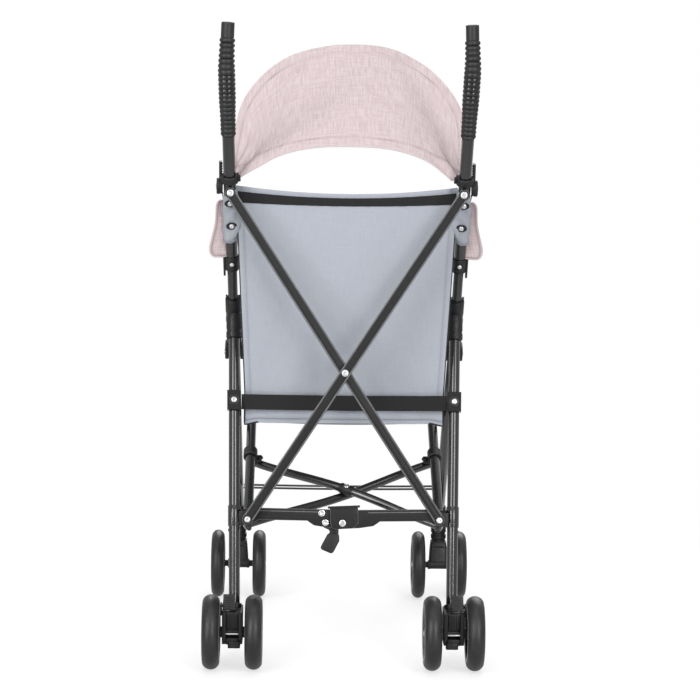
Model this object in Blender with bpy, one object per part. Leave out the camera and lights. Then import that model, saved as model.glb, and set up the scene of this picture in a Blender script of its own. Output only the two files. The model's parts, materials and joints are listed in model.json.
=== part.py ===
"""Lightweight umbrella stroller at its real size, standing open with its lock down.

Metres, +Z up. The origin is on the floor under the middle of the wheelbase. +X is the right side as seen from
behind, -Y is the rear with the handles, and +Y is the front. Every piece is one closed solid in its own object.
"""

from math import asin, atan2, cos, pi, radians, sin, sqrt

import bmesh
import bpy
from mathutils import Matrix, Vector

# Wheels, in metres
WHEELBASE = 0.490
REAR_TRACK = 0.355
FRONT_TRACK = 0.360
REAR_PAIR = 0.0685
FRONT_PAIR = 0.074
WHEEL_RADIUS = 0.060
TYRE_WIDTH = 0.022
TYRE_HEIGHT = 0.0145
TREAD_WIDTH = 0.008
RIM_WIDTH = 0.019
RIM_WALL = 0.0038
HUB_RADIUS = 0.0105
HUB_WIDTH = 0.0215
AXLE_RADIUS = 0.003
SPOKE_COUNT = 5
SPOKE_WIDTH = 0.0075
SPOKE_THICKNESS = 0.007
TYRE_STEPS = 20

# Side frames: distances across from the middle, ahead of the rear axle, and up from the floor
LEG_FOOT = (0.1750, 0.020, 0.080)
APEX = (0.1825, 0.190, 0.555)
LEG_RADIUS = 0.0090
LEG_TOP_GAP = 0.0225
PUSH_LEAN = radians(24.9)
PUSH_RADIUS = 0.0098
PUSH_LOWER_RADIUS = 0.0080
PUSH_HINGE_DROP = 0.080
PUSH_TOP_UP = 1.021
PUSH_BEND_RADIUS = 0.070
PUSH_BEND_ACROSS = 0.1918
PUSH_TOP_ACROSS = 0.1895
SLEEVE_RADIUS = 0.0116
SLEEVE_FROM = 0.628
SLEEVE_TO = 0.652
GRIP_RADIUS = 0.0124
GRIP_FROM = 0.851
GRIP_CAP = 0.0035
FRONT_LEG_RADIUS = 0.0090
FRONT_LEG_FOOT = (0.1800, 0.497, 0.154)

# Casters
STEM_AHEAD = 0.510
STEM_RADIUS = 0.0138
STEM_FROM = 0.1042
STEM_TO = 0.1220
FORK_TOP = 0.1037
FORK_HALF_TOP = 0.0140
FORK_HALF_LOW = 0.0175
AXLE_BOSS_RADIUS = 0.0082

# Rear axle housings and foot brakes
HOUSING_HALF = 0.0165
HOUSING_LOW = 0.043
HOUSING_TOP = 0.096
HOUSING_REAR = -0.017
HOUSING_FRONT = 0.036
SOCKET_RADIUS = 0.0130
SOCKET_TOP = 0.122
BRAKE_HINGE = (-0.002, 0.1035)
BRAKE_WIDTH = 0.0230
BRAKE_LENGTH = 0.0300
BRAKE_THICKNESS = 0.0050

# Folding linkage
FOLD_TRAVEL = 0.240
PIVOT_ACROSS = 0.155
BAR_TOP = (0.1865, 0.072, 0.759)
BAR_FOOT = (0.155, 0.050, 0.234)
BAR_WIDTH = 0.0170
BAR_THICKNESS = 0.0040
BAR_SPACING = 0.0012
BAR_WALL = 0.0014
RIVET_RADIUS = 0.0062
RIVET_HEIGHT = 0.0022
PIN_RADIUS = 0.0028
LINK_HEIGHT = 0.0186
LINK_THICKNESS = 0.0040
LINK_CLEAR = 0.0018
LAYER_GAP = 0.0004
LINK_DROP = 0.007
LINK_LEAN = radians(6.0)
PLATE_HALF = 0.031
PLATE_HEIGHT = 0.036
PEDAL_LENGTH = 0.049
PEDAL_ACROSS = -0.0275
RUNNER_RADIUS = 0.0135
RUNNER_LENGTH = 0.034
RUNNER_UP = 0.234
RAIL_PIVOT = (0.155, 0.083, 0.235)
RAIL_RADIUS = 0.0080
RAIL_EYE_RADIUS = 0.0100
RAIL_EYE_HALF = 0.0080
RAIL_TIP = (0.155, 0.460, 0.413)
CROSS_RADIUS = 0.0070
CROSS_DROP = 0.0196
CROSS_BOW_UP = 0.0090
CROSS_BOW_DOWN = 0.0080
CROSS_HIGH_ALONG = 0.168
CROSS_HIGH_ACROSS = 0.143
RAIL_RUNNER_RADIUS = 0.0118
RAIL_RUNNER_LENGTH = 0.020

# Cloth, webbing and canopy
CLOTH = 0.0016
WEBBING = 0.0018
BACK_TOP = (0.1782, 0.104, 0.7600)
BACK_SAG = 0.015
BACK_FOOT = (0.1630, 0.1500, 0.3800)
SEAT_FRONT = (0.1560, 0.4630, 0.4262)
SEAT_REAR_WIDTH = 0.1480
APRON_DROP = 0.055
STRAP_UP = 0.4125
STRAP_WIDTH = 0.025
FOOTREST_UP = 0.2080
FOOTREST_DEPTH = 0.036
HINGE_AHEAD = 0.098
HINGE_UP = 0.768
HINGE_RADIUS = 0.0130
CANOPY_HALF = 0.2075
CANOPY_REACH = 0.3025
CANOPY_ANGLES = (46.6, 14.0)
CANOPY_POWER = 2.3
CANOPY_REAR = (0.1730, 0.0945, 0.7805, 0.8340)
BOW_RADIUS = 0.0030
BOW_CLEAR = 0.0006
SLEEVE_HALF = 0.0050
SEAT_SAG = 0.016
CANOPY_SLACK = 0.026

# Shared clearance between touching pieces, and the flats on a round piece
GAP = 0.0003
ROUND_SIDES = 10

FINISHES = {
    "tube_black": ((0.030, 0.030, 0.033), 0.28, 0.9),
    "bar_grey": ((0.050, 0.050, 0.053), 0.35, 0.8),
    "plastic_black": ((0.035, 0.035, 0.037), 0.45, 0.0),
    "grip_rubber": ((0.045, 0.046, 0.050), 0.5, 0.0),
    "tyre_black": ((0.045, 0.045, 0.048), 0.6, 0.0),
    "seat_grey": ((0.42, 0.45, 0.50), 0.9, 0.0),
    "canopy_pink": ((0.73, 0.60, 0.62), 0.9, 0.0),
    "webbing_black": ((0.020, 0.020, 0.022), 0.85, 0.0),
}


def spot(across, ahead, up):
    """A place given from the middle line, the rear axle and the floor."""
    return Vector((across, ahead - WHEELBASE / 2, up))


def on_side(side, place):
    """The same place on the left (side -1) or right (side +1)."""
    across, ahead, up = place
    return spot(side * across, ahead, up)


def mix(start, end, share):
    return start + (end - start) * share


def clear_scene():
    for old in list(bpy.data.objects):
        bpy.data.objects.remove(old)


def material(slot):
    found = bpy.data.materials.get(slot)
    if found:
        return found
    colour, roughness, metallic = FINISHES[slot]
    made = bpy.data.materials.new(slot)
    made.use_nodes = True
    shader = made.node_tree.nodes["Principled BSDF"]
    shader.inputs["Base Color"].default_value = (*colour, 1)
    shader.inputs["Roughness"].default_value = roughness
    shader.inputs["Metallic"].default_value = metallic
    return made


def link_object(name, mesh):
    made = bpy.data.objects.new(name, mesh)
    bpy.context.scene.collection.objects.link(made)
    return made


def mesh_object(name, points, faces):
    mesh = bpy.data.meshes.new(name)
    mesh.from_pydata([tuple(point) for point in points], [], faces)
    work = bmesh.new()
    work.from_mesh(mesh)
    bmesh.ops.recalc_face_normals(work, faces=work.faces)
    work.to_mesh(mesh)
    work.free()
    return link_object(name, mesh)


def loft(name, rings, closed=False):
    """One solid skinned over rings of equal point counts, with flat ends unless it closes on itself."""
    count = len(rings[0])
    points = [point for ring in rings for point in ring]
    faces = []
    if not closed:
        faces.append(tuple(range(count)))
        faces.append(tuple(range(len(points) - count, len(points))))
    for i in range(len(rings) if closed else len(rings) - 1):
        following = (i + 1) % len(rings)
        for j in range(count):
            k = (j + 1) % count
            faces.append((i * count + j, i * count + k, following * count + k, following * count + j))
    return mesh_object(name, points, faces)


def ring(centre, first, second, radius, sides):
    """Points on a circle whose flats face along the two directions."""
    turns = [2 * pi * (i + 0.5) / sides for i in range(sides)]
    return [centre + (first * cos(turn) + second * sin(turn)) * radius for turn in turns]


def across_axis(axis):
    """Two unit vectors square to an axis, the first as near to X as it goes."""
    seed = Vector((1, 0, 0)) if abs(axis.x) < 0.9 else Vector((0, 1, 0))
    first = (seed - axis * seed.dot(axis)).normalized()
    return first, axis.cross(first)


def path_rings(path, radii, sides):
    """Rings along a bending path, each in the plane that halves the bend."""
    rings = []
    for i, place in enumerate(path):
        before = path[max(i - 1, 0)]
        after = path[min(i + 1, len(path) - 1)]
        first, second = across_axis((after - before).normalized())
        rings.append(ring(place, first, second, radii[i], sides))
    return rings


def tube(name, path, radii, sides=ROUND_SIDES):
    if not isinstance(radii, (list, tuple)):
        radii = [radii] * len(path)
    return loft(name, path_rings(path, radii, sides))


def rod(name, start, end, radius, sides=ROUND_SIDES):
    return tube(name, [start, end], radius, sides)


def turned(name, centre, axis, profile, sides, closed=False):
    """A solid turned about an axis. The profile lists (distance along the axis, radius)."""
    first, second = across_axis(axis)
    rings = [ring(centre + axis * along, first, second, radius, sides) for along, radius in profile]
    return loft(name, rings, closed)


def block(name, centre, size, axes=None):
    """A box of the given full sizes along three square directions."""
    first, second, third = axes or (Vector((1, 0, 0)), Vector((0, 1, 0)), Vector((0, 0, 1)))
    rings = []
    for sign in (-0.5, 0.5):
        middle = centre + third * size[2] * sign
        corners = [(-0.5, -0.5), (0.5, -0.5), (0.5, 0.5), (-0.5, 0.5)]
        rings.append([middle + first * size[0] * u + second * size[1] * v for u, v in corners])
    return loft(name, rings)


def plate(name, outline, origin, first, second, third, low, high):
    """An outline of (first, second) distances, pulled from low to high along the third direction."""
    rings = []
    for level in (low, high):
        rings.append([origin + first * u + second * v + third * level for u, v in outline])
    return loft(name, rings)


def round_end(centre_u, centre_v, radius, start, end, steps):
    """Points of an arc, in degrees, for a plate's outline."""
    turns = [radians(start + (end - start) * i / steps) for i in range(steps + 1)]
    return [(centre_u + radius * cos(turn), centre_v + radius * sin(turn)) for turn in turns]


def fuse(name, solids, holes=()):
    """Joins solids into one and cuts the holes out of it."""
    body = solids[0]
    for other, operation in [(s, "UNION") for s in solids[1:]] + [(h, "DIFFERENCE") for h in holes]:
        step = body.modifiers.new(operation.lower(), "BOOLEAN")
        step.operation = operation
        step.object = other
        step.solver = "EXACT"
    bpy.context.view_layer.update()
    graph = bpy.context.evaluated_depsgraph_get()
    mesh = bpy.data.meshes.new_from_object(body.evaluated_get(graph))
    for used in (*solids, *holes):
        bpy.data.objects.remove(used)
    return link_object(name, mesh)


def carrier(name, place, parent=None):
    """An empty on a joint's axis, which carries that joint's pieces."""
    made = bpy.data.objects.new(name, None)
    bpy.context.scene.collection.objects.link(made)
    made.empty_display_size = 0.02
    made.parent = parent
    made["place"] = tuple(place)
    made.location = place - (Vector(parent["place"]) if parent else Vector())
    return made


def seat(piece, name, holder, slot):
    """Names a piece, gives it its material and hangs it on its carrier, whose axis is its origin."""
    place = Vector(holder["place"])
    piece.data.transform(Matrix.Translation(-place))
    piece.name = name
    piece.data.name = name
    piece.parent = holder
    piece.data.materials.clear()
    piece.data.materials.append(material(slot))
    piece.data.shade_smooth()
    piece.data.set_sharp_from_angle(angle=radians(35))
    return piece


SIDES = {"left": -1, "right": 1}
ACROSS = Vector((1, 0, 0))
UP = Vector((0, 0, 1))
PUSH_UP = Vector((0, -sin(PUSH_LEAN), cos(PUSH_LEAN)))
BACKWARD = Vector((0, -cos(LINK_LEAN), sin(LINK_LEAN)))
LINK_UP = Vector((0, sin(LINK_LEAN), cos(LINK_LEAN)))


def leg_at(side, up):
    """The rear leg's axis at a height."""
    return mix(on_side(side, LEG_FOOT), on_side(side, APEX), (up - LEG_FOOT[2]) / (APEX[2] - LEG_FOOT[2]))


def leg_down(side):
    return (on_side(side, LEG_FOOT) - on_side(side, APEX)).normalized()


def push_at(side, up):
    """The push tube's straight part at a height, spreading a little on its way up."""
    bend = push_bend(side)
    hinge = push_hinge(side)
    return mix(hinge, bend, (up - hinge.z) / (bend.z - hinge.z))


def push_way(side):
    return (push_bend(side) - push_hinge(side)).normalized()


def push_bend(side):
    """Where the leaning part and the upright top of the push tube would meet."""
    apex = on_side(side, APEX)
    rise = (apex.y - spot(0, 0, 0).y) / (sin(PUSH_LEAN) / cos(PUSH_LEAN))
    return Vector((side * PUSH_BEND_ACROSS, spot(0, 0, 0).y, apex.z + rise))


def push_hinge(side):
    """The pivot where the front leg hangs from the push tube's lower end."""
    return on_side(side, APEX) - PUSH_UP * PUSH_HINGE_DROP


def rail_frame():
    """The seat rail's direction and the normal above it, the same on both sides."""
    start = on_side(1, RAIL_PIVOT)
    along = (on_side(1, RAIL_TIP) - start).normalized()
    return along, ACROSS.cross(along)


def bar_ends(side):
    """The upper and lower pivots of the X bar that hangs from this side's push tube."""
    return on_side(side, BAR_TOP), on_side(-side, BAR_FOOT)


def foot_travel():
    """How far each runner slides down its leg as the frame closes, so that the X bars keep their length."""
    top, foot = bar_ends(1)
    length = (foot - top).length
    along = leg_down(-1)
    closed = foot - top + ACROSS * FOLD_TRAVEL
    half = closed.dot(along)
    return -half + sqrt(half * half - closed.dot(closed) + length * length)


def bar_axis(side):
    """The axis that an X bar turns about, and its turn as the frame closes."""
    top, foot = bar_ends(side)
    opened = foot - top
    closed = opened + ACROSS * side * FOLD_TRAVEL + leg_down(-side) * foot_travel()
    axis = opened.cross(closed).normalized()
    if axis.y > 0:
        axis = -axis
    turn = atan2(opened.cross(closed).dot(axis), opened.dot(closed))
    return axis, turn


def link_turn():
    """The turn of each lock link as the frame closes, from below the middle line to nearly upright."""
    half = sqrt(PIVOT_ACROSS**2 + LINK_DROP**2)
    closed = PIVOT_ACROSS - FOLD_TRAVEL / 2
    return atan2(LINK_DROP, PIVOT_ACROSS) + atan2(sqrt(half**2 - closed**2), closed)


def front_fold():
    """The turns of the front leg and the seat rail as the frame closes, which keep their crossing together."""
    hinge = push_hinge(1)
    foot = on_side(1, FRONT_LEG_FOOT)
    pivot = on_side(1, RAIL_PIVOT)
    along, _ = rail_frame()
    leg = (foot - hinge) * Vector((0, 1, 1))
    leg.normalize()
    leg_way = Vector((0, leg.y, leg.z))
    cross = leg_way.y * along.z - leg_way.z * along.y
    span = (pivot - hinge) * Vector((0, 1, 1))
    reach = (span.y * along.z - span.z * along.y) / cross
    meeting = hinge + leg_way * reach
    rail_reach = ((meeting - pivot) * Vector((0, 1, 1))).length
    slid = pivot + leg_down(1) * foot_travel()
    gap = (hinge - slid) * Vector((0, 1, 1))
    lean = asin(abs(gap.y) / gap.length)
    at_hinge = _angle(reach, gap.length, rail_reach)
    at_pivot = _angle(rail_reach, gap.length, reach)
    leg_open = atan2(leg_way.y, -leg_way.z)
    rail_open = atan2(along.z, along.y)
    leg_closed = at_hinge - lean
    rail_closed = pi / 2 - lean - at_pivot
    return leg_open - leg_closed, rail_closed - rail_open


def _angle(near, base, far):
    """The angle between two sides of a triangle, from the three lengths."""
    value = (near**2 + base**2 - far**2) / (2 * near * base)
    return pi / 2 - asin(value)


def cross_ends(side):
    """The lower and upper pivots of the cross tube that starts under this side's seat rail."""
    along, above = rail_frame()
    low = on_side(side, RAIL_PIVOT) - above * CROSS_DROP
    high = on_side(-side, RAIL_PIVOT) + along * CROSS_HIGH_ALONG - above * CROSS_DROP
    high.x = -side * CROSS_HIGH_ACROSS
    return low, high


def cross_fold():
    """The cross tube's turn, and the rail runner's slide, as the frame closes."""
    low, high = cross_ends(1)
    length = (high - low).length
    spread = PIVOT_ACROSS + CROSS_HIGH_ACROSS
    closed = spread - FOLD_TRAVEL
    turn = asin(spread / length) - asin(closed / length)
    return turn, sqrt(length**2 - closed**2) - CROSS_HIGH_ALONG


def make_rear_leg(side):
    start = leg_at(side, HOUSING_TOP - 0.009)
    end = on_side(side, APEX) + leg_down(side) * LEG_TOP_GAP
    return tube("leg", [start, end], LEG_RADIUS)


def push_path(side):
    """The push tube's axis from its lower end to its upright top, and the radius at each point."""
    bend = push_bend(side)
    top = Vector((side * PUSH_TOP_ACROSS, bend.y, PUSH_TOP_UP))
    low = push_hinge(side) + push_way(side) * 0.0195
    heights = [SLEEVE_FROM, SLEEVE_FROM, SLEEVE_TO, SLEEVE_TO]
    radii = [PUSH_LOWER_RADIUS, PUSH_LOWER_RADIUS, SLEEVE_RADIUS, SLEEVE_RADIUS, PUSH_RADIUS]
    path = [low] + [push_at(side, up) for up in heights]
    tangent = PUSH_BEND_RADIUS * sin(PUSH_LEAN / 2) / cos(PUSH_LEAN / 2)
    start = mix(bend, push_at(side, GRIP_FROM), tangent / (bend - push_at(side, GRIP_FROM)).length)
    end = mix(bend, top, tangent / (top - bend).length)
    for share in (0, 0.25, 0.5, 0.75, 1):
        path.append(mix(mix(start, bend, share), mix(bend, end, share), share))
        radii.append(PUSH_RADIUS)
    path.append(top)
    radii.append(PUSH_RADIUS)
    return path, radii


def make_push_tube(side):
    path, radii = push_path(side)
    # The ring of the plastic sleeve has square shoulders, so its ends share one plane each.
    first, second = across_axis(push_way(side))
    rings = []
    for i, place in enumerate(path):
        before = path[max(i - 1, 0)]
        after = path[min(i + 1, len(path) - 1)]
        if i < 6:
            rings.append(ring(place, first, second, radii[i], ROUND_SIDES))
            continue
        sideways, upward = across_axis((after - before).normalized())
        rings.append(ring(place, sideways, upward, radii[i], ROUND_SIDES))
    body = loft("push", rings)
    top, _ = bar_ends(side)
    axis, _ = bar_axis(side)
    low, high = bar_layer(side)
    behind = push_at(side, top.z)
    start = top + axis * ((behind - top).dot(axis) + 0.003)
    shank = rod("shank", start, top + axis * (high + GAP + 0.001), PIN_RADIUS)
    spacer = rod("spacer", start, top + axis * (low - GAP), RIVET_RADIUS)
    head = rod("head", top + axis * (high + GAP), top + axis * (high + GAP + RIVET_HEIGHT), RIVET_RADIUS)
    return fuse("push", [body, spacer, shank, head])


def make_grip(side):
    """A closed-ended sleeve over the push tube's top, bored to the tube with a small clearance."""
    path, _ = push_path(side)
    start = push_at(side, GRIP_FROM)
    axis_path = [start] + path[5:]
    cap = [axis_path[-1] + UP * GRIP_CAP]
    outer = path_rings(axis_path[:-1] + cap, [GRIP_RADIUS] * len(axis_path), ROUND_SIDES)
    inner_path = axis_path[:-1] + [axis_path[-1] + UP * GAP]
    inner = path_rings(inner_path, [PUSH_RADIUS + GAP] * len(inner_path), ROUND_SIDES)
    crown = ring(cap[0] + UP * 0.0022, *across_axis(UP), GRIP_RADIUS * 0.8, ROUND_SIDES)
    return loft("grip", inner[::-1] + outer + [crown])


def make_apex_bracket(side):
    """Two crossing sleeves: one round the push tube, one round the rear leg's top."""
    apex = push_at(side, APEX[2])
    way = push_way(side)
    leg_top = on_side(side, APEX)
    down = leg_down(side)
    along_push = rod("sleeve", apex - way * 0.020, apex + way * 0.026, 0.0128)
    along_leg = rod("collar", leg_top + down * 0.004, leg_top + down * 0.046, 0.0132)
    web = block(
        "web",
        apex + down * 0.012 - PUSH_UP * 0.010,
        (0.017, 0.020, 0.030),
        (ACROSS, PUSH_UP.cross(ACROSS), PUSH_UP),
    )
    push_bore = rod("bore", push_at(side, APEX[2] - 0.08), push_at(side, APEX[2] + 0.06), PUSH_LOWER_RADIUS + GAP)
    leg_bore = rod("bore", leg_top + down * (LEG_TOP_GAP - GAP), leg_top + down * 0.070, LEG_RADIUS + GAP)
    return fuse("apex", [along_push, along_leg, web], [push_bore, leg_bore])


def make_leg_hinge(side):
    """The plastic fork on the push tube's lower end, with the pin that the front leg swings on."""
    hinge = push_hinge(side)
    way = push_way(side)
    socket = rod("socket", hinge + way * 0.0130, hinge + way * 0.040, 0.0125)
    bridge = block(
        "bridge",
        hinge + PUSH_UP * 0.0150,
        (0.0306, 0.0200, 0.0050),
        (ACROSS, PUSH_UP.cross(ACROSS), PUSH_UP),
    )
    solids = [socket, bridge]
    for cheek in (-1, 1):
        near, far = 0.0098, 0.0155
        start = hinge + ACROSS * cheek * near
        end = hinge + ACROSS * cheek * far
        solids.append(rod("cheek", start, end, 0.0125, 16))
        arm = block(
            "arm",
            hinge + ACROSS * cheek * (near + far) / 2 + PUSH_UP * 0.0080,
            (far - near - 0.0002, 0.0190, 0.0160),
            (ACROSS, PUSH_UP.cross(ACROSS), PUSH_UP),
        )
        solids.append(arm)
    pin = rod("pin", hinge - ACROSS * 0.0150, hinge + ACROSS * 0.0150, PIN_RADIUS)
    bore = rod("bore", hinge + way * (0.0195 - GAP), hinge + way * 0.060, PUSH_LOWER_RADIUS + GAP)
    return fuse("hinge", solids + [pin], [bore])


def make_front_leg(side):
    hinge = push_hinge(side)
    foot = on_side(side, FRONT_LEG_FOOT)
    down = (foot - hinge).normalized()
    shaft = tube("leg", [hinge + down * 0.006, foot], FRONT_LEG_RADIUS)
    eye = rod("eye", hinge - ACROSS * 0.0093, hinge + ACROSS * 0.0093, 0.0112, 16)
    bore = rod("bore", hinge - ACROSS * 0.02, hinge + ACROSS * 0.02, PIN_RADIUS + GAP)
    return fuse("front", [shaft, eye], [bore])


def make_caster_socket(side):
    """The fixed plastic knee between the front leg's foot and the caster's upright stem."""
    hinge = push_hinge(side)
    foot = on_side(side, FRONT_LEG_FOOT)
    down = (foot - hinge).normalized()
    stem = on_side(side, (FRONT_TRACK / 2, STEM_AHEAD, STEM_TO))
    path = [
        foot - down * 0.016,
        foot,
        mix(foot, stem, 0.5) + Vector((0, 0.002, 0)),
        stem,
        stem - UP * 0.0062,
        stem - UP * 0.0070,
        stem - UP * 0.0100,
        stem - UP * 0.0108,
        on_side(side, (FRONT_TRACK / 2, STEM_AHEAD, STEM_FROM)),
    ]
    radii = [0.0120, 0.0126, 0.0134] + [STEM_RADIUS, STEM_RADIUS, 0.0125, 0.0125, STEM_RADIUS, STEM_RADIUS]
    body = tube("knee", path, radii)
    bore = rod("bore", foot - down * 0.040, foot + down * GAP, FRONT_LEG_RADIUS + GAP)
    return fuse("knee", [body], [bore])


def make_caster_fork(side):
    """The swivelling fork: a tapering leg from the stem down to the boss that holds the wheels' axle."""
    middle = side * FRONT_TRACK / 2
    axle = spot(middle, WHEELBASE, WHEEL_RADIUS)

    def level(up, half, rear, front):
        return [
            spot(middle - half, rear, up),
            spot(middle + half, rear, up),
            spot(middle + half, front, up),
            spot(middle - half, front, up),
        ]

    low_end = WHEELBASE
    rings = [
        level(0.100, FORK_HALF_TOP, STEM_AHEAD - 0.013, STEM_AHEAD + 0.013),
        level(0.084, FORK_HALF_TOP + 0.002, STEM_AHEAD - 0.017, STEM_AHEAD + 0.010),
        level(WHEEL_RADIUS + 0.002, FORK_HALF_LOW, low_end - 0.0075, low_end + 0.0085),
    ]
    body = loft("body", rings)
    neck = rod("neck", spot(middle, STEM_AHEAD, 0.097), spot(middle, STEM_AHEAD, FORK_TOP), 0.0130)
    boss_half = FRONT_PAIR / 2 - HUB_WIDTH / 2 - 0.0005
    boss = rod("boss", axle - ACROSS * 0.0195, axle + ACROSS * 0.0195, AXLE_BOSS_RADIUS)
    shoulder = rod("shoulder", axle - ACROSS * boss_half, axle + ACROSS * boss_half, 0.0058)
    reach = FRONT_PAIR / 2 + HUB_WIDTH / 2 + 0.0012
    shaft = rod("shaft", axle - ACROSS * reach, axle + ACROSS * reach, AXLE_RADIUS)
    return fuse("fork", [body, neck, boss, shoulder, shaft])


def make_axle_housing(side):
    """The plastic foot of the rear leg, with the rear axle through it."""
    middle = side * REAR_TRACK / 2
    axle = spot(middle, 0, WHEEL_RADIUS)
    depth = HOUSING_FRONT - HOUSING_REAR
    centre = spot(middle, (HOUSING_REAR + HOUSING_FRONT) / 2, (HOUSING_LOW + HOUSING_TOP) / 2)
    body = block("body", centre, (2 * HOUSING_HALF, depth, HOUSING_TOP - HOUSING_LOW))
    socket = rod("socket", leg_at(side, HOUSING_LOW + 0.030), leg_at(side, SOCKET_TOP), SOCKET_RADIUS)
    boss_half = REAR_PAIR / 2 - HUB_WIDTH / 2 - 0.0005
    shoulder = rod("shoulder", axle - ACROSS * boss_half, axle + ACROSS * boss_half, 0.0090)
    reach = REAR_PAIR / 2 + HUB_WIDTH / 2 + 0.0012
    shaft = rod("shaft", axle - ACROSS * reach, axle + ACROSS * reach, AXLE_RADIUS)
    window = block(
        "window",
        spot(middle, HOUSING_REAR, WHEEL_RADIUS + 0.001),
        (0.0190, 0.020, 0.011),
    )
    hinge = spot(middle + side * 0.0015, *BRAKE_HINGE)
    pin = rod("pin", hinge - ACROSS * 0.0140, hinge + ACROSS * 0.0140, PIN_RADIUS)
    ears = []
    for ear in (-1, 1):
        lug = block("lug", hinge + ACROSS * ear * 0.0150 + Vector((0, 0.002, -0.006)), (0.0028, 0.012, 0.0190))
        ears.append(lug)
    bore = rod("bore", leg_at(side, HOUSING_TOP - 0.009 - GAP), leg_at(side, SOCKET_TOP + 0.03), LEG_RADIUS + GAP)
    return fuse("housing", [body, socket, shoulder, shaft, *ears, pin], [window, bore])


def make_brake(side):
    """The ribbed foot pedal behind the rear leg, hinged across the axle housing."""
    middle = side * REAR_TRACK / 2
    hinge = spot(middle + side * 0.0015, *BRAKE_HINGE)
    upward = -leg_down(side)
    upward.x = 0
    upward.normalize()
    forward = ACROSS.cross(upward) * -1
    half = BRAKE_WIDTH / 2
    outline = [(-half, -0.001), (half, -0.001), (half - 0.0015, BRAKE_LENGTH), (-half + 0.0015, BRAKE_LENGTH)]
    low, high = -BRAKE_THICKNESS / 2, BRAKE_THICKNESS / 2
    body = plate("brake", outline, hinge, ACROSS, upward, forward, low, high)
    solids = [body, rod("eye", hinge - ACROSS * half, hinge + ACROSS * half, 0.0052)]
    for i in range(4):
        middle_rib = hinge + upward * (0.0085 + 0.0062 * i) - forward * high
        solids.append(block("rib", middle_rib, (BRAKE_WIDTH - 0.0050, 0.0024, 0.0026), (ACROSS, forward, upward)))
    bore = rod("bore", hinge - ACROSS * 0.02, hinge + ACROSS * 0.02, PIN_RADIUS + GAP)
    return fuse("brake", solids, [bore])


def make_tyre(centre):
    radius = WHEEL_RADIUS / cos(pi / TYRE_STEPS)
    inner = radius - TYRE_HEIGHT
    half, tread = TYRE_WIDTH / 2, TREAD_WIDTH / 2
    right = [(tread, radius), (half * 0.80, radius - 0.0028), (half, radius - 0.0085), (half * 0.93, inner)]
    profile = [(-along, r) for along, r in right[::-1]] + right
    return turned("tyre", centre, ACROSS, profile, TYRE_STEPS, closed=True)


def make_rim(centre):
    """The spoked plastic wheel inside a tyre, bored to turn on its axle."""
    outer = WHEEL_RADIUS / cos(pi / TYRE_STEPS) - TYRE_HEIGHT - GAP
    inner = outer - RIM_WALL
    half = RIM_WIDTH / 2
    band = turned("band", centre, ACROSS, [(-half, inner), (-half, outer), (half, outer), (half, inner)], TYRE_STEPS, True)
    solids = [band, rod("hub", centre - ACROSS * HUB_WIDTH / 2, centre + ACROSS * HUB_WIDTH / 2, HUB_RADIUS)]
    for i in range(SPOKE_COUNT):
        turn = 2 * pi * i / SPOKE_COUNT + 0.3
        out = Vector((0, sin(turn), cos(turn)))
        reach = (HUB_RADIUS - 0.003, inner + RIM_WALL / 2)
        middle = centre + out * sum(reach) / 2
        size = (SPOKE_THICKNESS, SPOKE_WIDTH, reach[1] - reach[0])
        solids.append(block("spoke", middle, size, (ACROSS, out.cross(ACROSS), out)))
    bore = rod("bore", centre - ACROSS * 0.03, centre + ACROSS * 0.03, AXLE_RADIUS + GAP)
    return fuse("rim", solids, [bore])


def bar_layer(side):
    """The right tube's bar lies nearer the rear than the left tube's, so that they pass where they cross."""
    if side > 0:
        return BAR_SPACING, BAR_SPACING + BAR_THICKNESS
    return -BAR_SPACING - BAR_THICKNESS, -BAR_SPACING


def make_cross_bar(side):
    """A channel-section bar of the rear X, hollow to the front, with rivet heads on its rear face."""
    top, foot = bar_ends(side)
    axis, _ = bar_axis(side)
    along = (foot - top).normalized()
    wide = axis.cross(along)
    length = (foot - top).length
    half = BAR_WIDTH / 2
    low, high = bar_layer(side)
    outline = round_end(length, 0, half, -90, 90, 6) + round_end(0, 0, half, 90, 270, 6)
    body = plate("bar", outline, top, along, wide, axis, low, high)
    inner = half - BAR_WALL
    meet = length * BAR_TOP[0] / (BAR_TOP[0] + BAR_FOOT[0])
    slot = [(0.020, -inner), (meet - 0.014, -inner), (meet - 0.014, inner), (0.020, inner)]
    slot_far = [(meet + 0.014, -inner), (length - 0.020, -inner), (length - 0.020, inner), (meet + 0.014, inner)]
    cuts = [plate("slot", shape, top, along, wide, axis, low - 0.002, high - BAR_WALL) for shape in (slot, slot_far)]
    cuts.append(rod("bore", top + axis * (low - 0.002), top + axis * (high + 0.002), PIN_RADIUS + GAP))
    solids = [body]
    if side > 0:
        middle = top + along * meet
        solids.append(rod("rivet", middle + axis * (high - 0.001), middle + axis * (high + RIVET_HEIGHT), RIVET_RADIUS))
    solids.append(rod("rivet", foot + axis * (high - 0.001), foot + axis * (high + RIVET_HEIGHT), 0.0056))
    return fuse("bar", solids, cuts)


def layer(number):
    """One flat layer of the lock behind the X bars, counted from the rear."""
    high = -BAR_SPACING - BAR_THICKNESS - LINK_CLEAR - number * (LINK_THICKNESS + LAYER_GAP)
    return high - LINK_THICKNESS, high


LINK_LAYERS = {"right": layer(0), "left": layer(1), "pedal": layer(2)}
EAR_LAYERS = {"right": layer(1), "left": layer(2)}


def lock_centre():
    """The middle pivot of the lock links, a little below the line between the runners."""
    return spot(0, BAR_FOOT[1], BAR_FOOT[2]) - LINK_UP * LINK_DROP


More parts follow.
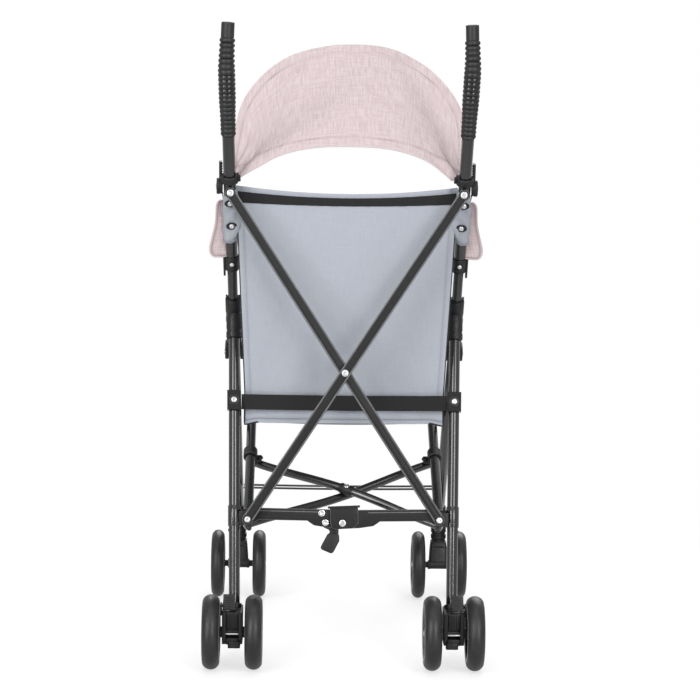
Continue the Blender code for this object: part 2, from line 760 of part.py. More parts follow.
def make_lock_link(name):
    side = SIDES[name]
    pivot = on_side(side, BAR_FOOT)
    along = (lock_centre() - pivot).normalized()
    upward = LINK_UP - along * LINK_UP.dot(along)
    upward.normalize()
    length = (lock_centre() - pivot).length
    half = LINK_HEIGHT / 2
    low, high = LINK_LAYERS[name]
    outline = [(length, -half)] + round_end(length, 0, half, -60, 60, 4) + [(length, half)]
    outline = round_end(0, 0, half, 90, 270, 6) + outline
    solids = [plate("link", outline, pivot, along, upward, BACKWARD, low, high)]
    if name == "right":
        deep = PLATE_HEIGHT / 2
        shape = [
            (length - PLATE_HALF, deep - 0.0115),
            (length - PLATE_HALF, -deep * 0.55),
            (length - PLATE_HALF + 0.014, -deep + 0.004),
            (length + 0.010, -deep + 0.004),
            (length + PLATE_HALF * 0.90, -deep + 0.007),
            (length + PLATE_HALF, -deep * 0.30),
            (length + PLATE_HALF, deep - 0.0055),
            (length - PLATE_HALF, deep - 0.0055),
        ]
        solids.append(plate("plate", shape[1:], pivot, along, upward, BACKWARD, low, high + 0.0003))
    if name == "right":
        rivets = [(length, 0.0), (length - PEDAL_ACROSS, 0.0005)]
        for u, v in rivets:
            place = pivot + along * u + upward * v
            start = place + BACKWARD * (high - 0.001)
            solids.append(rod("rivet", start, place + BACKWARD * (high + 0.0014), 0.0058))
    bore = rod("bore", pivot + BACKWARD * (low - 0.002), pivot + BACKWARD * (high + 0.002), PIN_RADIUS + GAP)
    return fuse("link", solids, [bore])


def pedal_pivot():
    """Where the release pedal hangs on the left link, near the lock's middle."""
    pivot = on_side(-1, BAR_FOOT)
    along = (lock_centre() - pivot).normalized()
    return lock_centre() + along * PEDAL_ACROSS


def make_release_pedal():
    """A bent flat lever under the lock's middle, lifted by foot to break the links over centre."""
    pivot = pedal_pivot()
    low, high = LINK_LAYERS["pedal"]
    outline = round_end(0, 0, 0.0110, 0, 180, 6) + [
        (-0.0095, -0.012),
        (-0.0080, -0.022),
        (-0.0130, -0.038),
        (-0.0105, -0.0455),
        (-0.0020, -PEDAL_LENGTH),
        (0.0060, -0.0440),
        (0.0105, -0.028),
        (0.0105, -0.012),
    ]
    body = plate("pedal", outline, pivot, ACROSS, LINK_UP, BACKWARD, low, high)
    pad = plate(
        "pad",
        [(-0.0105, -0.030), (-0.0122, -0.037), (-0.0095, -0.0440), (-0.0020, -0.0470), (0.0050, -0.0425), (0.0090, -0.030)],
        pivot,
        ACROSS,
        LINK_UP,
        BACKWARD,
        low - 0.0025,
        high + 0.0015,
    )
    return fuse("pedal", [body, pad])


def make_runner(name):
    """The plastic block that slides on the rear leg and carries the linkage's lower pivots."""
    side = SIDES[name]
    down = leg_down(side)
    centre = leg_at(side, RUNNER_UP)
    sleeve = rod("sleeve", centre - down * RUNNER_LENGTH / 2, centre + down * RUNNER_LENGTH / 2, RUNNER_RADIUS)
    foot = on_side(side, BAR_FOOT)
    low, high = EAR_LAYERS[name]
    inward = ACROSS * -side
    ear = plate(
        "ear",
        [(-0.0170, -0.0115), (0.0060, -0.0115), (0.0105, -0.006), (0.0105, 0.006), (0.0060, 0.0115), (-0.0170, 0.0115)],
        foot,
        inward,
        LINK_UP,
        BACKWARD,
        low,
        high,
    )
    link_low, link_high = LINK_LAYERS[name]
    pin = rod("pin", foot + BACKWARD * (low + 0.001), foot + BACKWARD * (link_high + 0.0010), PIN_RADIUS)
    reach = -0.0004 if side < 0 else -0.0066
    head = rod("head", foot + BACKWARD * (link_high + GAP), foot + BACKWARD * (reach + 0.0002), 0.0060)
    pivot = on_side(side, RAIL_PIVOT)
    inner = RAIL_EYE_HALF + 0.0015
    stub = rod("stub", pivot + ACROSS * side * 0.013, pivot - ACROSS * side * inner, PIN_RADIUS)
    button = rod("button", pivot - ACROSS * side * (RAIL_EYE_HALF + GAP), pivot - ACROSS * side * (inner + 0.002), 0.0046)
    bore = rod("bore", centre - down * 0.05, centre + down * 0.05, LEG_RADIUS + GAP)
    return fuse("runner", [sleeve, ear, pin, head, stub, button], [bore])


def make_seat_rail(side):
    pivot = on_side(side, RAIL_PIVOT)
    tip = on_side(side, RAIL_TIP)
    along, above = rail_frame()
    shaft = tube("rail", [pivot + along * 0.004, tip - along * 0.003, tip], [RAIL_RADIUS, RAIL_RADIUS, RAIL_RADIUS * 0.7])
    eye = rod("eye", pivot - ACROSS * RAIL_EYE_HALF, pivot + ACROSS * RAIL_EYE_HALF, RAIL_EYE_RADIUS, 16)
    low, _ = cross_ends(side)
    reach = CROSS_DROP + CROSS_RADIUS
    pin = rod("pin", pivot - above * 0.0075, pivot - above * (reach + 0.0012), PIN_RADIUS)
    head = rod("head", pivot - above * (reach + 0.0005), pivot - above * (reach + 0.0030), 0.0055)
    bore = rod("bore", pivot - ACROSS * 0.03, pivot + ACROSS * 0.03, PIN_RADIUS + GAP)
    return fuse("rail", [shaft, eye, pin, head], [bore])


def make_cross_tube(side):
    """A curved tube of the lower X. The right one bows up and carries the clip that rides on the left one."""
    low, high = cross_ends(side)
    _, above = rail_frame()
    bow = CROSS_BOW_UP if side > 0 else -CROSS_BOW_DOWN
    steps = 8
    path = []
    for i in range(steps + 1):
        share = i / steps
        lift = bow * (1 - cos(2 * pi * share)) / 2
        path.append(mix(low, high, share) + above * lift)
    way = (high - low).normalized()
    path[0] = low - way * 0.0075
    path[-1] = high + way * 0.0075
    body = tube("cross", path, CROSS_RADIUS, 10)
    bore = rod("bore", low + above * 0.02, low - above * 0.02, PIN_RADIUS + GAP)
    solids = [body]
    if side > 0:
        middle = mix(low, high, 0.5) + above * bow
        apart = CROSS_BOW_UP + CROSS_BOW_DOWN - CROSS_RADIUS
        solids.append(rod("clip", middle - above * 0.003, middle - above * (apart - 0.0006), 0.0052))
        solids.append(rod("clip", middle + above * 0.003, middle + above * (CROSS_RADIUS + 0.0014), 0.0052))
    return fuse("cross", solids, [bore])


def make_rail_runner(side):
    """The sleeve that slides along the seat rail, with a lug over the cross tube's upper end."""
    along, above = rail_frame()
    centre = on_side(side, RAIL_PIVOT) + along * CROSS_HIGH_ALONG
    half = RAIL_RUNNER_LENGTH / 2
    sleeve = rod("sleeve", centre - along * half, centre + along * half, RAIL_RUNNER_RADIUS)
    high = centre - above * CROSS_DROP
    high.x = side * CROSS_HIGH_ACROSS
    gap_top = CROSS_DROP - CROSS_RADIUS - 0.0018
    lug_centre = centre - above * (gap_top - 0.0025)
    lug_centre.x = side * (CROSS_HIGH_ACROSS + 0.003)
    lug = block("lug", lug_centre, (0.0200, 0.0160, 0.0050), (ACROSS, along, above))
    bore = rod("bore", centre - along * 0.03, centre + along * 0.03, RAIL_RADIUS + GAP)
    return fuse("slider", [sleeve, lug], [bore])


def make_strap_cap(side):
    """The plastic saddle on the rear leg that holds the end of the lower webbing."""
    centre = leg_at(side, STRAP_UP)
    down = leg_down(side)
    rearward = ACROSS.cross(down)
    if rearward.y > 0:
        rearward = -rearward
    rearward.normalize()
    body = block("cap", centre + rearward * 0.0062, (0.0235, 0.0150, 0.0340), (ACROSS, rearward, down))
    head_at = centre + rearward * 0.0132
    head = rod("rivet", head_at, head_at + rearward * 0.0028, 0.0052)
    bore = rod("bore", centre - down * 0.04, centre + down * 0.04, LEG_RADIUS + GAP)
    return fuse("cap", [body, head], [bore])


def canopy_hinge(side):
    return spot(side * (CANOPY_HALF - 0.0010), HINGE_AHEAD, HINGE_UP)


def make_canopy_clamp(side):
    """A collar round the push tube with the ratchet disc that the canopy's bows pivot on."""
    hinge = canopy_hinge(side)
    centre = push_at(side, HINGE_UP + 0.013)
    way = push_way(side)
    collar = rod("collar", centre - way * 0.0065, centre + way * 0.0065, 0.0140)
    start = hinge - ACROSS * side * 0.0068
    disc = rod("disc", start, hinge + ACROSS * side * 0.0028, HINGE_RADIUS, 16)
    bore = rod("bore", centre - way * 0.04, centre + way * 0.04, PUSH_RADIUS + GAP)
    return fuse("clamp", [collar, disc], [bore])


def arch(half, reach, angle, start, steps, shift=0):
    """Points of a rounded-square arch over both hinges, tilted up from the front and shifted square to itself."""
    out = Vector((0, cos(radians(angle)), sin(radians(angle))))
    hinge = spot(0, HINGE_AHEAD, HINGE_UP) + ACROSS.cross(out) * shift
    low = asin(start / reach)
    points = []
    for i in range(steps + 1):
        turn = low + (pi - 2 * low) * i / steps
        sideways = cos(turn)
        spread = abs(sideways) ** (2 / CANOPY_POWER) * (1 if sideways > 0 else -1)
        height = sin(turn) ** (2 / CANOPY_POWER)
        points.append(hinge + ACROSS * half * spread + out * reach * height)
    return points


def make_bow(angle):
    """A canopy bow from one ratchet disc over to the other, just inside the cloth."""
    start = HINGE_RADIUS + 2 * GAP
    half = CANOPY_HALF - BOW_RADIUS - BOW_CLEAR
    reach = CANOPY_REACH - BOW_RADIUS - BOW_CLEAR
    return tube("bow", arch(half, reach, angle, start, 18), BOW_RADIUS, 6)


def rear_arch(steps):
    """The canopy's low rear hem between the push tubes."""
    half, ahead, up, top = CANOPY_REAR
    points = []
    for i in range(steps + 1):
        share = 1 - 2 * i / steps
        points.append(spot(half * share, ahead, top - (top - up) * abs(share) ** 2.2))
    return points


def sheet_solid(name, rows, thickness, above):
    """A closed thin solid over a grid of points, its second face moved by the thickness along each normal."""
    high, wide = len(rows), len(rows[0])
    points = [point for row in rows for point in row]
    other = []
    for i in range(high):
        for j in range(wide):
            down = rows[min(i + 1, high - 1)][j] - rows[max(i - 1, 0)][j]
            over = rows[i][min(j + 1, wide - 1)] - rows[i][max(j - 1, 0)]
            normal = over.cross(down).normalized()
            other.append(points[i * wide + j] + normal * (thickness if above else -thickness))
    total = high * wide
    faces = []
    for i in range(high - 1):
        for j in range(wide - 1):
            a, b = i * wide + j, i * wide + j + 1
            c, d = a + wide + 1, a + wide
            faces.append((a, b, c, d))
            faces.append((total + d, total + c, total + b, total + a))
    rim = [j for j in range(wide)]
    rim += [i * wide + wide - 1 for i in range(1, high)]
    rim += [(high - 1) * wide + j for j in range(wide - 2, -1, -1)]
    rim += [i * wide for i in range(high - 2, 0, -1)]
    for k, a in enumerate(rim):
        b = rim[(k + 1) % len(rim)]
        faces.append((b, a, total + a, total + b))
    return mesh_object(name, points + other, faces)


def make_canopy_cover():
    """The hood's cloth: a rear panel up to the middle bow and a front panel on to the front bow."""
    steps = 18
    start = 0.0165
    behind = arch(CANOPY_HALF, CANOPY_REACH, CANOPY_ANGLES[0], start, steps, SLEEVE_HALF)
    before = arch(CANOPY_HALF, CANOPY_REACH, CANOPY_ANGLES[0], start, steps, -SLEEVE_HALF)
    front = arch(CANOPY_HALF, CANOPY_REACH, CANOPY_ANGLES[1], start, steps)
    rear = rear_arch(steps)
    inside = spot(0, HINGE_AHEAD + 0.08, HINGE_UP)
    rows = []
    for lines, count in (((rear, behind), 5), ((behind, before), 1), ((before, front), 4)):
        for i in range(count + (lines[1] is front)):
            share = i / count
            row = []
            for a, b in zip(*lines):
                point = mix(a, b, share)
                slack = CANOPY_SLACK * sin(pi * share) * (max(point.z - HINGE_UP, 0) / CANOPY_REACH) ** 0.5
                row.append(point + (inside - point) * slack)
            rows.append(row)
    return sheet_solid("cover", rows, CLOTH, False)


def back_point(share_across, share_down):
    """The seat back's rear face, hung between the push tubes, with its sag and its drawn folds."""
    top, foot = BACK_TOP, BACK_FOOT
    half = top[0] + (foot[0] - top[0]) * min(1.0, share_down * 1.15)
    ahead = top[1] + (foot[1] - top[1]) * share_down
    up = top[2] + (foot[2] - top[2]) * share_down
    hang = 1 - share_across**2
    up -= BACK_SAG * hang * (1 - share_down) ** 3
    belly = -0.010 * hang * sin(pi * share_down)
    # Two soft folds run from the lower corners towards the middle.
    fold = 0
    for corner in (-1, 1):
        distance = (share_across - corner * (0.95 - 0.75 * (1 - share_down))) / 0.16
        fold += 0.0035 * share_down**2 * (1 - share_down) * 4 / (1 + distance**2)
    return spot(share_across * half, ahead + belly + fold, up)


def seat_point(across, share):
    """The seat cloth's top between the back's foot and the front edge, sagging towards its middle."""
    rear = spot(0, BACK_FOOT[1] + 0.016, BACK_FOOT[2] - 0.0040)
    front = spot(0, SEAT_FRONT[1], SEAT_FRONT[2])
    half = SEAT_REAR_WIDTH + (SEAT_FRONT[0] - SEAT_REAR_WIDTH) * share
    sag = SEAT_SAG * (1 - across**2) * sin(pi * min(1, share * 0.9 + 0.1))
    return mix(rear, front, share) + ACROSS * across * half - UP * sag


def make_seat_sling():
    """One cloth from the top hem down the back, forward over the seat and down over the rails' front ends."""
    columns = 13
    rows = []
    for i in range(11):
        rows.append([back_point(2 * j / (columns - 1) - 1, i / 10) for j in range(columns)])
    for i in range(7):
        rows.append([seat_point(2 * j / (columns - 1) - 1, i / 6) for j in range(columns)])
    last = rows[-1]
    for i in range(1, 4):
        drop = APRON_DROP * i / 3
        row = []
        for j, point in enumerate(last):
            wave = 0.002 * sin(j * 1.3) * i / 3
            row.append(point + Vector((0, 0.0065 + 0.004 * min(i, 2) + wave, -drop)))
        rows.append(row)
    return sheet_solid("sling", rows, CLOTH, False)


def band(name, start, end, wide, thick, width, sag, columns=12):
    """A flat band of webbing between two places, given its width's direction and its face's direction."""
    rings = []
    for i in range(columns + 1):
        share = i / columns
        centre = mix(start, end, share) - UP * sag * sin(pi * share)
        corners = [(-0.5, -0.5), (0.5, -0.5), (0.5, 0.5), (-0.5, 0.5)]
        rings.append([centre + wide * width * u + thick * WEBBING * v for u, v in corners])
    return loft(name, rings)


def make_lower_webbing():
    """The black band between the rear legs' saddles, which carries the seat's lower back."""
    inner = 0.0235 / 2 + GAP
    ends = []
    for side in (-1, 1):
        place = leg_at(side, STRAP_UP) - ACROSS * side * inner
        place.y -= 0.0072
        ends.append(place)
    return band("webbing", ends[0], ends[1], UP, Vector((0, 1, 0)), STRAP_WIDTH, 0.0010)


def make_footrest():
    """The flat strap between the front legs that a child's feet rest on."""
    ends = []
    for side in (-1, 1):
        hinge = push_hinge(side)
        foot = on_side(side, FRONT_LEG_FOOT)
        place = mix(hinge, foot, (hinge.z - FOOTREST_UP) / (hinge.z - foot.z))
        ends.append(place - ACROSS * side * (FRONT_LEG_RADIUS + GAP + 0.0002))
    return band("footrest", ends[0], ends[1], Vector((0, 1, 0)), UP, FOOTREST_DEPTH, 0.0015)


def make_harness():
    """The lap strap with its buckle, and the crotch strap that rises from the seat."""
    across = 0.118
    seat_up = 0.408
    lap = []
    for i in range(11):
        share = 2 * i / 10 - 1
        lap.append(spot(across * share, 0.178 + 0.100 * (1 - share * share), seat_up + 0.030 * (1 - abs(share))))
    rings = []
    for place in lap:
        corners = [(-0.5, -0.5), (0.5, -0.5), (0.5, 0.5), (-0.5, 0.5)]
        rings.append([place + UP * 0.022 * u + Vector((0, 1, 0)) * WEBBING * v for u, v in corners])
    belt = loft("lap", rings)
    buckle = block("buckle", lap[5], (0.046, 0.011, 0.034))
    crotch_low = seat_point(0, 0.5) + UP * (WEBBING / 2 + 2 * GAP)
    crotch = band("crotch", crotch_low, lap[5], ACROSS, Vector((0, 0.5, 1)).normalized(), 0.024, 0, 2)
    return fuse("harness", [belt, buckle, crotch])


def build():
    clear_scene()
    left = carrier("left_frame_carrier", spot(0, 0, 0))
    right = carrier("right_frame_carrier", spot(0, 0, 0), left)
    frames = {"left": left, "right": right}
    for name, side in SIDES.items():
        frame = frames[name]
        seat(make_rear_leg(side), f"{name}_rear_leg", frame, "tube_black")
        seat(make_push_tube(side), f"{name}_push_tube", frame, "tube_black")
        seat(make_grip(side), f"{name}_grip", frame, "grip_rubber")
        seat(make_apex_bracket(side), f"{name}_apex_bracket", frame, "plastic_black")
        seat(make_leg_hinge(side), f"{name}_leg_hinge", frame, "plastic_black")
        seat(make_strap_cap(side), f"{name}_strap_cap", frame, "plastic_black")
        seat(make_canopy_clamp(side), f"{name}_canopy_clamp", frame, "plastic_black")
        seat(make_axle_housing(side), f"{name}_axle_housing", frame, "plastic_black")

        brake = carrier(f"{name}_brake_axis", spot(side * (REAR_TRACK / 2 + 0.0015), *BRAKE_HINGE), frame)
        seat(make_brake(side), f"{name}_brake_pedal", brake, "plastic_black")

        runner = carrier(f"{name}_runner_way", on_side(side, BAR_FOOT), frame)
        seat(make_runner(name), f"{name}_runner", runner, "plastic_black")
        link = carrier(f"{name}_link_axis", on_side(side, BAR_FOOT), runner)
        seat(make_lock_link(name), f"{name}_lock_link", link, "bar_grey")

        rail = carrier(f"{name}_rail_axis", on_side(side, RAIL_PIVOT), runner)
        seat(make_seat_rail(side), f"{name}_seat_rail", rail, "tube_black")
        seat(make_rail_runner(side), f"{name}_rail_runner", rail, "plastic_black")
        low, _ = cross_ends(side)
        seat(make_cross_tube(side), f"{name}_cross_tube", carrier(f"{name}_cross_axis", low, rail), "tube_black")

        bar = carrier(f"{name}_bar_axis", on_side(side, BAR_TOP), frame)
        seat(make_cross_bar(side), f"{name}_cross_bar", bar, "bar_grey")

        leg = carrier(f"{name}_front_leg_axis", push_hinge(side), frame)
        seat(make_front_leg(side), f"{name}_front_leg", leg, "tube_black")
        seat(make_caster_socket(side), f"{name}_caster_socket", leg, "plastic_black")
        swivel = carrier(f"{name}_swivel_axis", spot(side * FRONT_TRACK / 2, STEM_AHEAD, FORK_TOP), leg)
        seat(make_caster_fork(side), f"{name}_caster_fork", swivel, "plastic_black")

        for place, inner_side in (("outer", 1), ("inner", -1)):
            rear = spot(side * (REAR_TRACK / 2 + inner_side * REAR_PAIR / 2), 0, WHEEL_RADIUS)
            front = spot(side * (FRONT_TRACK / 2 + inner_side * FRONT_PAIR / 2), WHEELBASE, WHEEL_RADIUS)
            for end, centre, holder in (("rear", rear, frame), ("front", front, swivel)):
                label = f"{name}_{end}_{place}"
                axis = carrier(f"{label}_wheel_axis", centre, holder)
                seat(make_tyre(centre), f"{label}_tyre", axis, "tyre_black")
                seat(make_rim(centre), f"{label}_rim", axis, "plastic_black")

    pedal = carrier("pedal_axis", pedal_pivot(), bpy.data.objects["left_link_axis"])
    seat(make_release_pedal(), "release_pedal", pedal, "plastic_black")
    canopy = carrier("canopy_axis", spot(0, HINGE_AHEAD, HINGE_UP), left)
    seat(make_canopy_cover(), "canopy_cover", canopy, "canopy_pink")
    seat(make_bow(CANOPY_ANGLES[0]), "canopy_middle_bow", canopy, "plastic_black")
    seat(make_bow(CANOPY_ANGLES[1]), "canopy_front_bow", canopy, "plastic_black")
    seat(make_seat_sling(), "seat_sling", left, "seat_grey")
    seat(make_lower_webbing(), "lower_webbing", left, "webbing_black")
    seat(make_footrest(), "footrest_strap", left, "webbing_black")
    seat(make_harness(), "harness", left, "webbing_black")


build()
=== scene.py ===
"""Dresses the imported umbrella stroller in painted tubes, moulded plastic, foam, woven cloth and webbing.

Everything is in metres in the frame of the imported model: +X right as seen from behind, +Y forward, +Z up.
"""

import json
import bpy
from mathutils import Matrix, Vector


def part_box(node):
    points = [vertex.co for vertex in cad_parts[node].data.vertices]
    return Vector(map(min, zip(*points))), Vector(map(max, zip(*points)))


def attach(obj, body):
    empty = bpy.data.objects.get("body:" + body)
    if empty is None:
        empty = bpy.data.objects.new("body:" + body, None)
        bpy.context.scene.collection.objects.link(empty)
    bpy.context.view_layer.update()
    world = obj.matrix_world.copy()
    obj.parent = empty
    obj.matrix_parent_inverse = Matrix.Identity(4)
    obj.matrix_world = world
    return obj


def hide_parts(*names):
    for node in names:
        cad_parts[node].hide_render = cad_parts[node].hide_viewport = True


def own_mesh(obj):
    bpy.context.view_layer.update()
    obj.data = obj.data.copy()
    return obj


bl_info = {
    "name": "Umbrella Stroller",
    "version": (1, 0, 0),
    "blender": (4, 5, 0),
    "location": "View3D > Sidebar > Stroller",
    "description": "Builds the visible pieces of a folding umbrella stroller around its packed frame",
    "category": "Object",
}

from math import asin, cos, pi, radians, sin, sqrt

import bmesh
import bpy
from mathutils import Vector

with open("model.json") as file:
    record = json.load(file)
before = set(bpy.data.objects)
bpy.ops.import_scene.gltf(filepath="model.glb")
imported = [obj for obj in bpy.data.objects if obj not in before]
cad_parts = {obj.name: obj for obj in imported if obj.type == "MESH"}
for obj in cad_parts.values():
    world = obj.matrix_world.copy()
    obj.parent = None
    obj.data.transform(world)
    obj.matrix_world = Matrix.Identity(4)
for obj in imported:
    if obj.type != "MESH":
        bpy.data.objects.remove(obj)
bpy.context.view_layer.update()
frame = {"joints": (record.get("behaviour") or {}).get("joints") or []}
JOINTS = {joint["name"]: joint for joint in frame["joints"]}

SIDES = {"left": -1, "right": 1}
ACROSS = Vector((1, 0, 0))
AHEAD = Vector((0, 1, 0))
UP = Vector((0, 0, 1))
SQUARE = (ACROSS, AHEAD, UP)

# Places in these values are across from the middle, ahead of the rear axle and up from the floor.
# The wheels, their axles and the foot brakes
WHEELBASE = 0.490
REAR_TRACK = 0.355
FRONT_TRACK = 0.360
REAR_PAIR = 0.0685
FRONT_PAIR = 0.074
WHEEL_RADIUS = 0.060
WHEEL_WIDTH = 0.0215
TYRE_DEPTH = 0.0138
TREAD_CROWN = 0.0128
TYRE_SWELL = {"rear": 0.0027, "front": 0.0002}
RIM_GAP = 0.0140
RIM_DEPTH = 0.0034
RIM_HALF = 0.0099
SPOKES = 5
AXLE_RADIUS = 0.0029
AXLE_SPACE = 0.0005
STEM_AHEAD = 0.510
BRAKE_SHIFT = 0.0038

# The rear legs, the front legs and the push tubes
APEX = (0.1825, 0.190, 0.555)
LEG_FOOT = (0.1750, 0.020, 0.080)
LEG_END_UP = 0.087
LEG_RADIUS = 0.0090
LEG_RIVETS_UP = (0.212, 0.243)
FRONT_LEG_FOOT = (0.1800, 0.497, 0.154)
FRONT_LEG_RADIUS = 0.0090
PUSH_LEAN = radians(24.9)
PUSH_RADIUS = 0.0098
PUSH_LOWER_RADIUS = 0.0080
PUSH_HINGE_DROP = 0.080
PUSH_TOP_UP = 1.021
PUSH_BEND_RADIUS = 0.070
PUSH_BEND_ACROSS = 0.1918
PUSH_TOP_ACROSS = 0.1895
PUSH_UP = Vector((0, -sin(PUSH_LEAN), cos(PUSH_LEAN)))
SLEEVE_FROM = 0.628
SLEEVE_TO = 0.652

# The foam grips
GRIP_FROM = 0.851
GRIP_BEND_UP = 0.930
GRIP_RADIUS = 0.0107
GRIP_SWELL = 0.0014
GRIP_RIB = 0.0026
GRIP_CAP = 0.0245
GRIP_CAP_RADIUS = 0.0104
GRIP_CAP_EDGE = 0.0022

# The flat bars of the rear X, the runners, and the lock with its layers listed from the rear one forwards
RUNNER_UP = 0.234
BAR_WIDTH = 0.0170
BAR_MEET = 0.5461
BAR_THICKNESS = 0.0040
BAR_SPACING = 0.0012
LINK_LEAN = radians(6.0)
LINK_DROP = 0.007
BACKWARD = Vector((0, -cos(LINK_LEAN), sin(LINK_LEAN)))
LINK_UP = Vector((0, sin(LINK_LEAN), cos(LINK_LEAN)))
LOCK_LAYERS = ((-0.0110, -0.0070), (-0.0154, -0.0114), (-0.0198, -0.0158))
PIN_RADIUS = 0.0027
HEAD_HEIGHT = 0.0026

# The seat rails and the bent tubes of the lower X
RAIL_TIP = (0.155, 0.460, 0.413)
RAIL_RADIUS = 0.0080
CROSS_RADIUS = 0.0070
CROSS_DROP = 0.0196
CROSS_BOW_UP = 0.0090
CROSS_BOW_DOWN = 0.0080
CROSS_HIGH_ALONG = 0.168
CROSS_HIGH_ACROSS = 0.143

# The cloth seat and its webbing. A fold of the back is its reach, its width and its height.
BACK_TOP = (0.1782, 0.104, 0.7690)
BACK_FOOT = (0.1630, 0.1500, 0.3800)
BACK_SAG = 0.0123
BACK_BELLY = 0.010
BACK_FOLDS = ((0.95, 0.15, 0.0060), (0.66, 0.10, -0.0030), (1.18, 0.12, 0.0026))
SEAT_FRONT = (0.1560, 0.4630, 0.4262)
SEAT_REAR_WIDTH = 0.1480
SEAT_SAG = 0.016
APRON_DROP = 0.055
STRAP_UP = 0.4125
STRAP_WIDTH = 0.025
FOOTREST_UP = 0.2080
FOOTREST_DEPTH = 0.036
FOOTREST_STRIP = 0.0105
TAB_UP = 0.7560
TAB_LENGTH = 0.086
TAB_RADIUS = 0.0113
TAB_HALF_TURN = 112

# The canopy, its bows and its side flaps
HINGE_AHEAD = 0.098
HINGE_UP = 0.768
CANOPY_HALF = 0.2075
CANOPY_REACH = 0.3025
CANOPY_ANGLES = (46.6, 14.0)
CANOPY_POWER = 2.3
CANOPY_REAR = (0.1730, 0.0945, 0.7805, 0.8340)
CANOPY_SLEEVE = 0.0050
CANOPY_STEPS = 96
CANOPY_START = 0.0165
BOW_INSET = 0.0040
BOW_RADIUS = 0.0029
BOW_START = 0.0136
FLAP_UP = 0.7445
FLAP_DROP = 0.0945

# Stitches, and the ribs and cords of the webbing
STITCH_LENGTH = 0.0032
RIB_PITCH = 0.0024
CORD_PITCH = 0.0016

# The materials by finish
LOOKS = {}

# The stage. FOCAL_PIXELS is the camera's focal length in pixels of a picture that is PICTURE_WIDTH wide.
FLOOR_HALF = 1.7
AMBIENT = 0.44
SENSOR_WIDTH = 36.0
FOCAL_PIXELS = 2456.0
PICTURE_WIDTH = 700.0
CAMERA_PLACE = (-0.073, -4.085, 1.058)
CAMERA_TURN = (82.0, -0.7, -1.075)
LAMPS = (
    ("key", (-2.7, -2.9, 0.9), (0.55, 4.6), 50.0),
    ("fill", (1.6, -3.6, 0.9), (0.4, 4.6), 34.0),
    ("rear", (-2.7, -4.3, 3.2), (2.2, 2.8), 68.0),
    ("rear", (2.4, -4.3, 3.2), (2.2, 2.8), 68.0),
    ("edge", (-1.9, -4.4, 1.0), (0.24, 1.8), 11.0),
    ("edge", (1.9, -4.4, 1.0), (0.24, 1.8), 11.0),
    ("ahead", (0.8, 4.4, 3.4), (3.6, 2.2), 100.0),
    ("overhead", (0.0, -0.9, 3.6), (3.0, 3.0), 22.0),
)


def spot(across, ahead, up):
    """A place given from the middle line, the rear axle and the floor."""
    return Vector((across, ahead - WHEELBASE / 2, up))


def on_side(side, place):
    """A place of the right side's frame, or its mirror image on the left."""
    across, ahead, up = place
    return spot(side * across, ahead, up)


def mix(start, end, share):
    """The place at a share of the way between two others."""
    return start + (end - start) * share


def pivot_of(joint):
    return Vector(JOINTS[joint]["pos_m"])


def axis_of(joint):
    return Vector(JOINTS[joint]["axis"])


def smooth(low, high, value):
    """Rises from 0 to 1 without corners as the value goes from low to high."""
    share = min(1.0, max(0.0, (value - low) / (high - low)))
    return share * share * (3 - 2 * share)


def leg_at(side, up):
    """The rear leg's middle line at a height."""
    share = (up - LEG_FOOT[2]) / (APEX[2] - LEG_FOOT[2])
    return mix(on_side(side, LEG_FOOT), on_side(side, APEX), share)


def leg_down(side):
    return (on_side(side, LEG_FOOT) - on_side(side, APEX)).normalized()


def push_bend(side):
    """The corner where the leaning push tube would meet its upright end."""
    apex = on_side(side, APEX)
    rise = APEX[1] * cos(PUSH_LEAN) / sin(PUSH_LEAN)
    return Vector((side * PUSH_BEND_ACROSS, spot(0, 0, 0).y, apex.z + rise))


def push_hinge(side):
    """The front leg's pivot at the push tube's lower end."""
    return on_side(side, APEX) - PUSH_UP * PUSH_HINGE_DROP


def push_at(side, up):
    """The leaning push tube's middle line at a height."""
    hinge = push_hinge(side)
    bend = push_bend(side)
    return mix(hinge, bend, (up - hinge.z) / (bend.z - hinge.z))


def push_way(side):
    return (push_bend(side) - push_hinge(side)).normalized()


def push_path(side, top_up=PUSH_TOP_UP, steps=14):
    """The push tube's upper part as one smooth line, from under the grip to its upright end."""
    bend = push_bend(side)
    top = Vector((side * PUSH_TOP_ACROSS, bend.y, top_up))
    start_grip = push_at(side, GRIP_FROM)
    tangent = PUSH_BEND_RADIUS * sin(PUSH_LEAN / 2) / cos(PUSH_LEAN / 2)
    start = mix(bend, start_grip, tangent / (bend - start_grip).length)
    end = mix(bend, top, tangent / (top - bend).length)
    path = [start_grip]
    for i in range(steps + 1):
        share = i / steps
        path.append(mix(mix(start, bend, share), mix(bend, end, share), share))
    path.append(top)
    return path


def rail_frame():
    """The ways along the seat rails and square above them."""
    start = pivot_of("right_rail_pivot")
    along = (on_side(1, RAIL_TIP) - start).normalized()
    return along, ACROSS.cross(along)


def lock_centre():
    """The rivet where the two links of the lock meet."""
    return (pivot_of("left_link_pivot") + pivot_of("right_link_pivot")) / 2 - LINK_UP * LINK_DROP


def across_axis(axis):
    """Two ways that stand square on an axis and on each other."""
    seed = ACROSS if abs(axis.x) < 0.9 else AHEAD
    first = (seed - axis * seed.dot(axis)).normalized()
    return first, axis.cross(first)


def resample(path, step):
    """The same line with points at even distances."""
    lengths = [0.0]
    for a, b in zip(path, path[1:]):
        lengths.append(lengths[-1] + (b - a).length)
    count = max(2, round(lengths[-1] / step))
    found = []
    k = 0
    for i in range(count + 1):
        want = lengths[-1] * i / count
        while k < len(lengths) - 2 and lengths[k + 1] < want:
            k += 1
        found.append(mix(path[k], path[k + 1], (want - lengths[k]) / (lengths[k + 1] - lengths[k])))
    return found


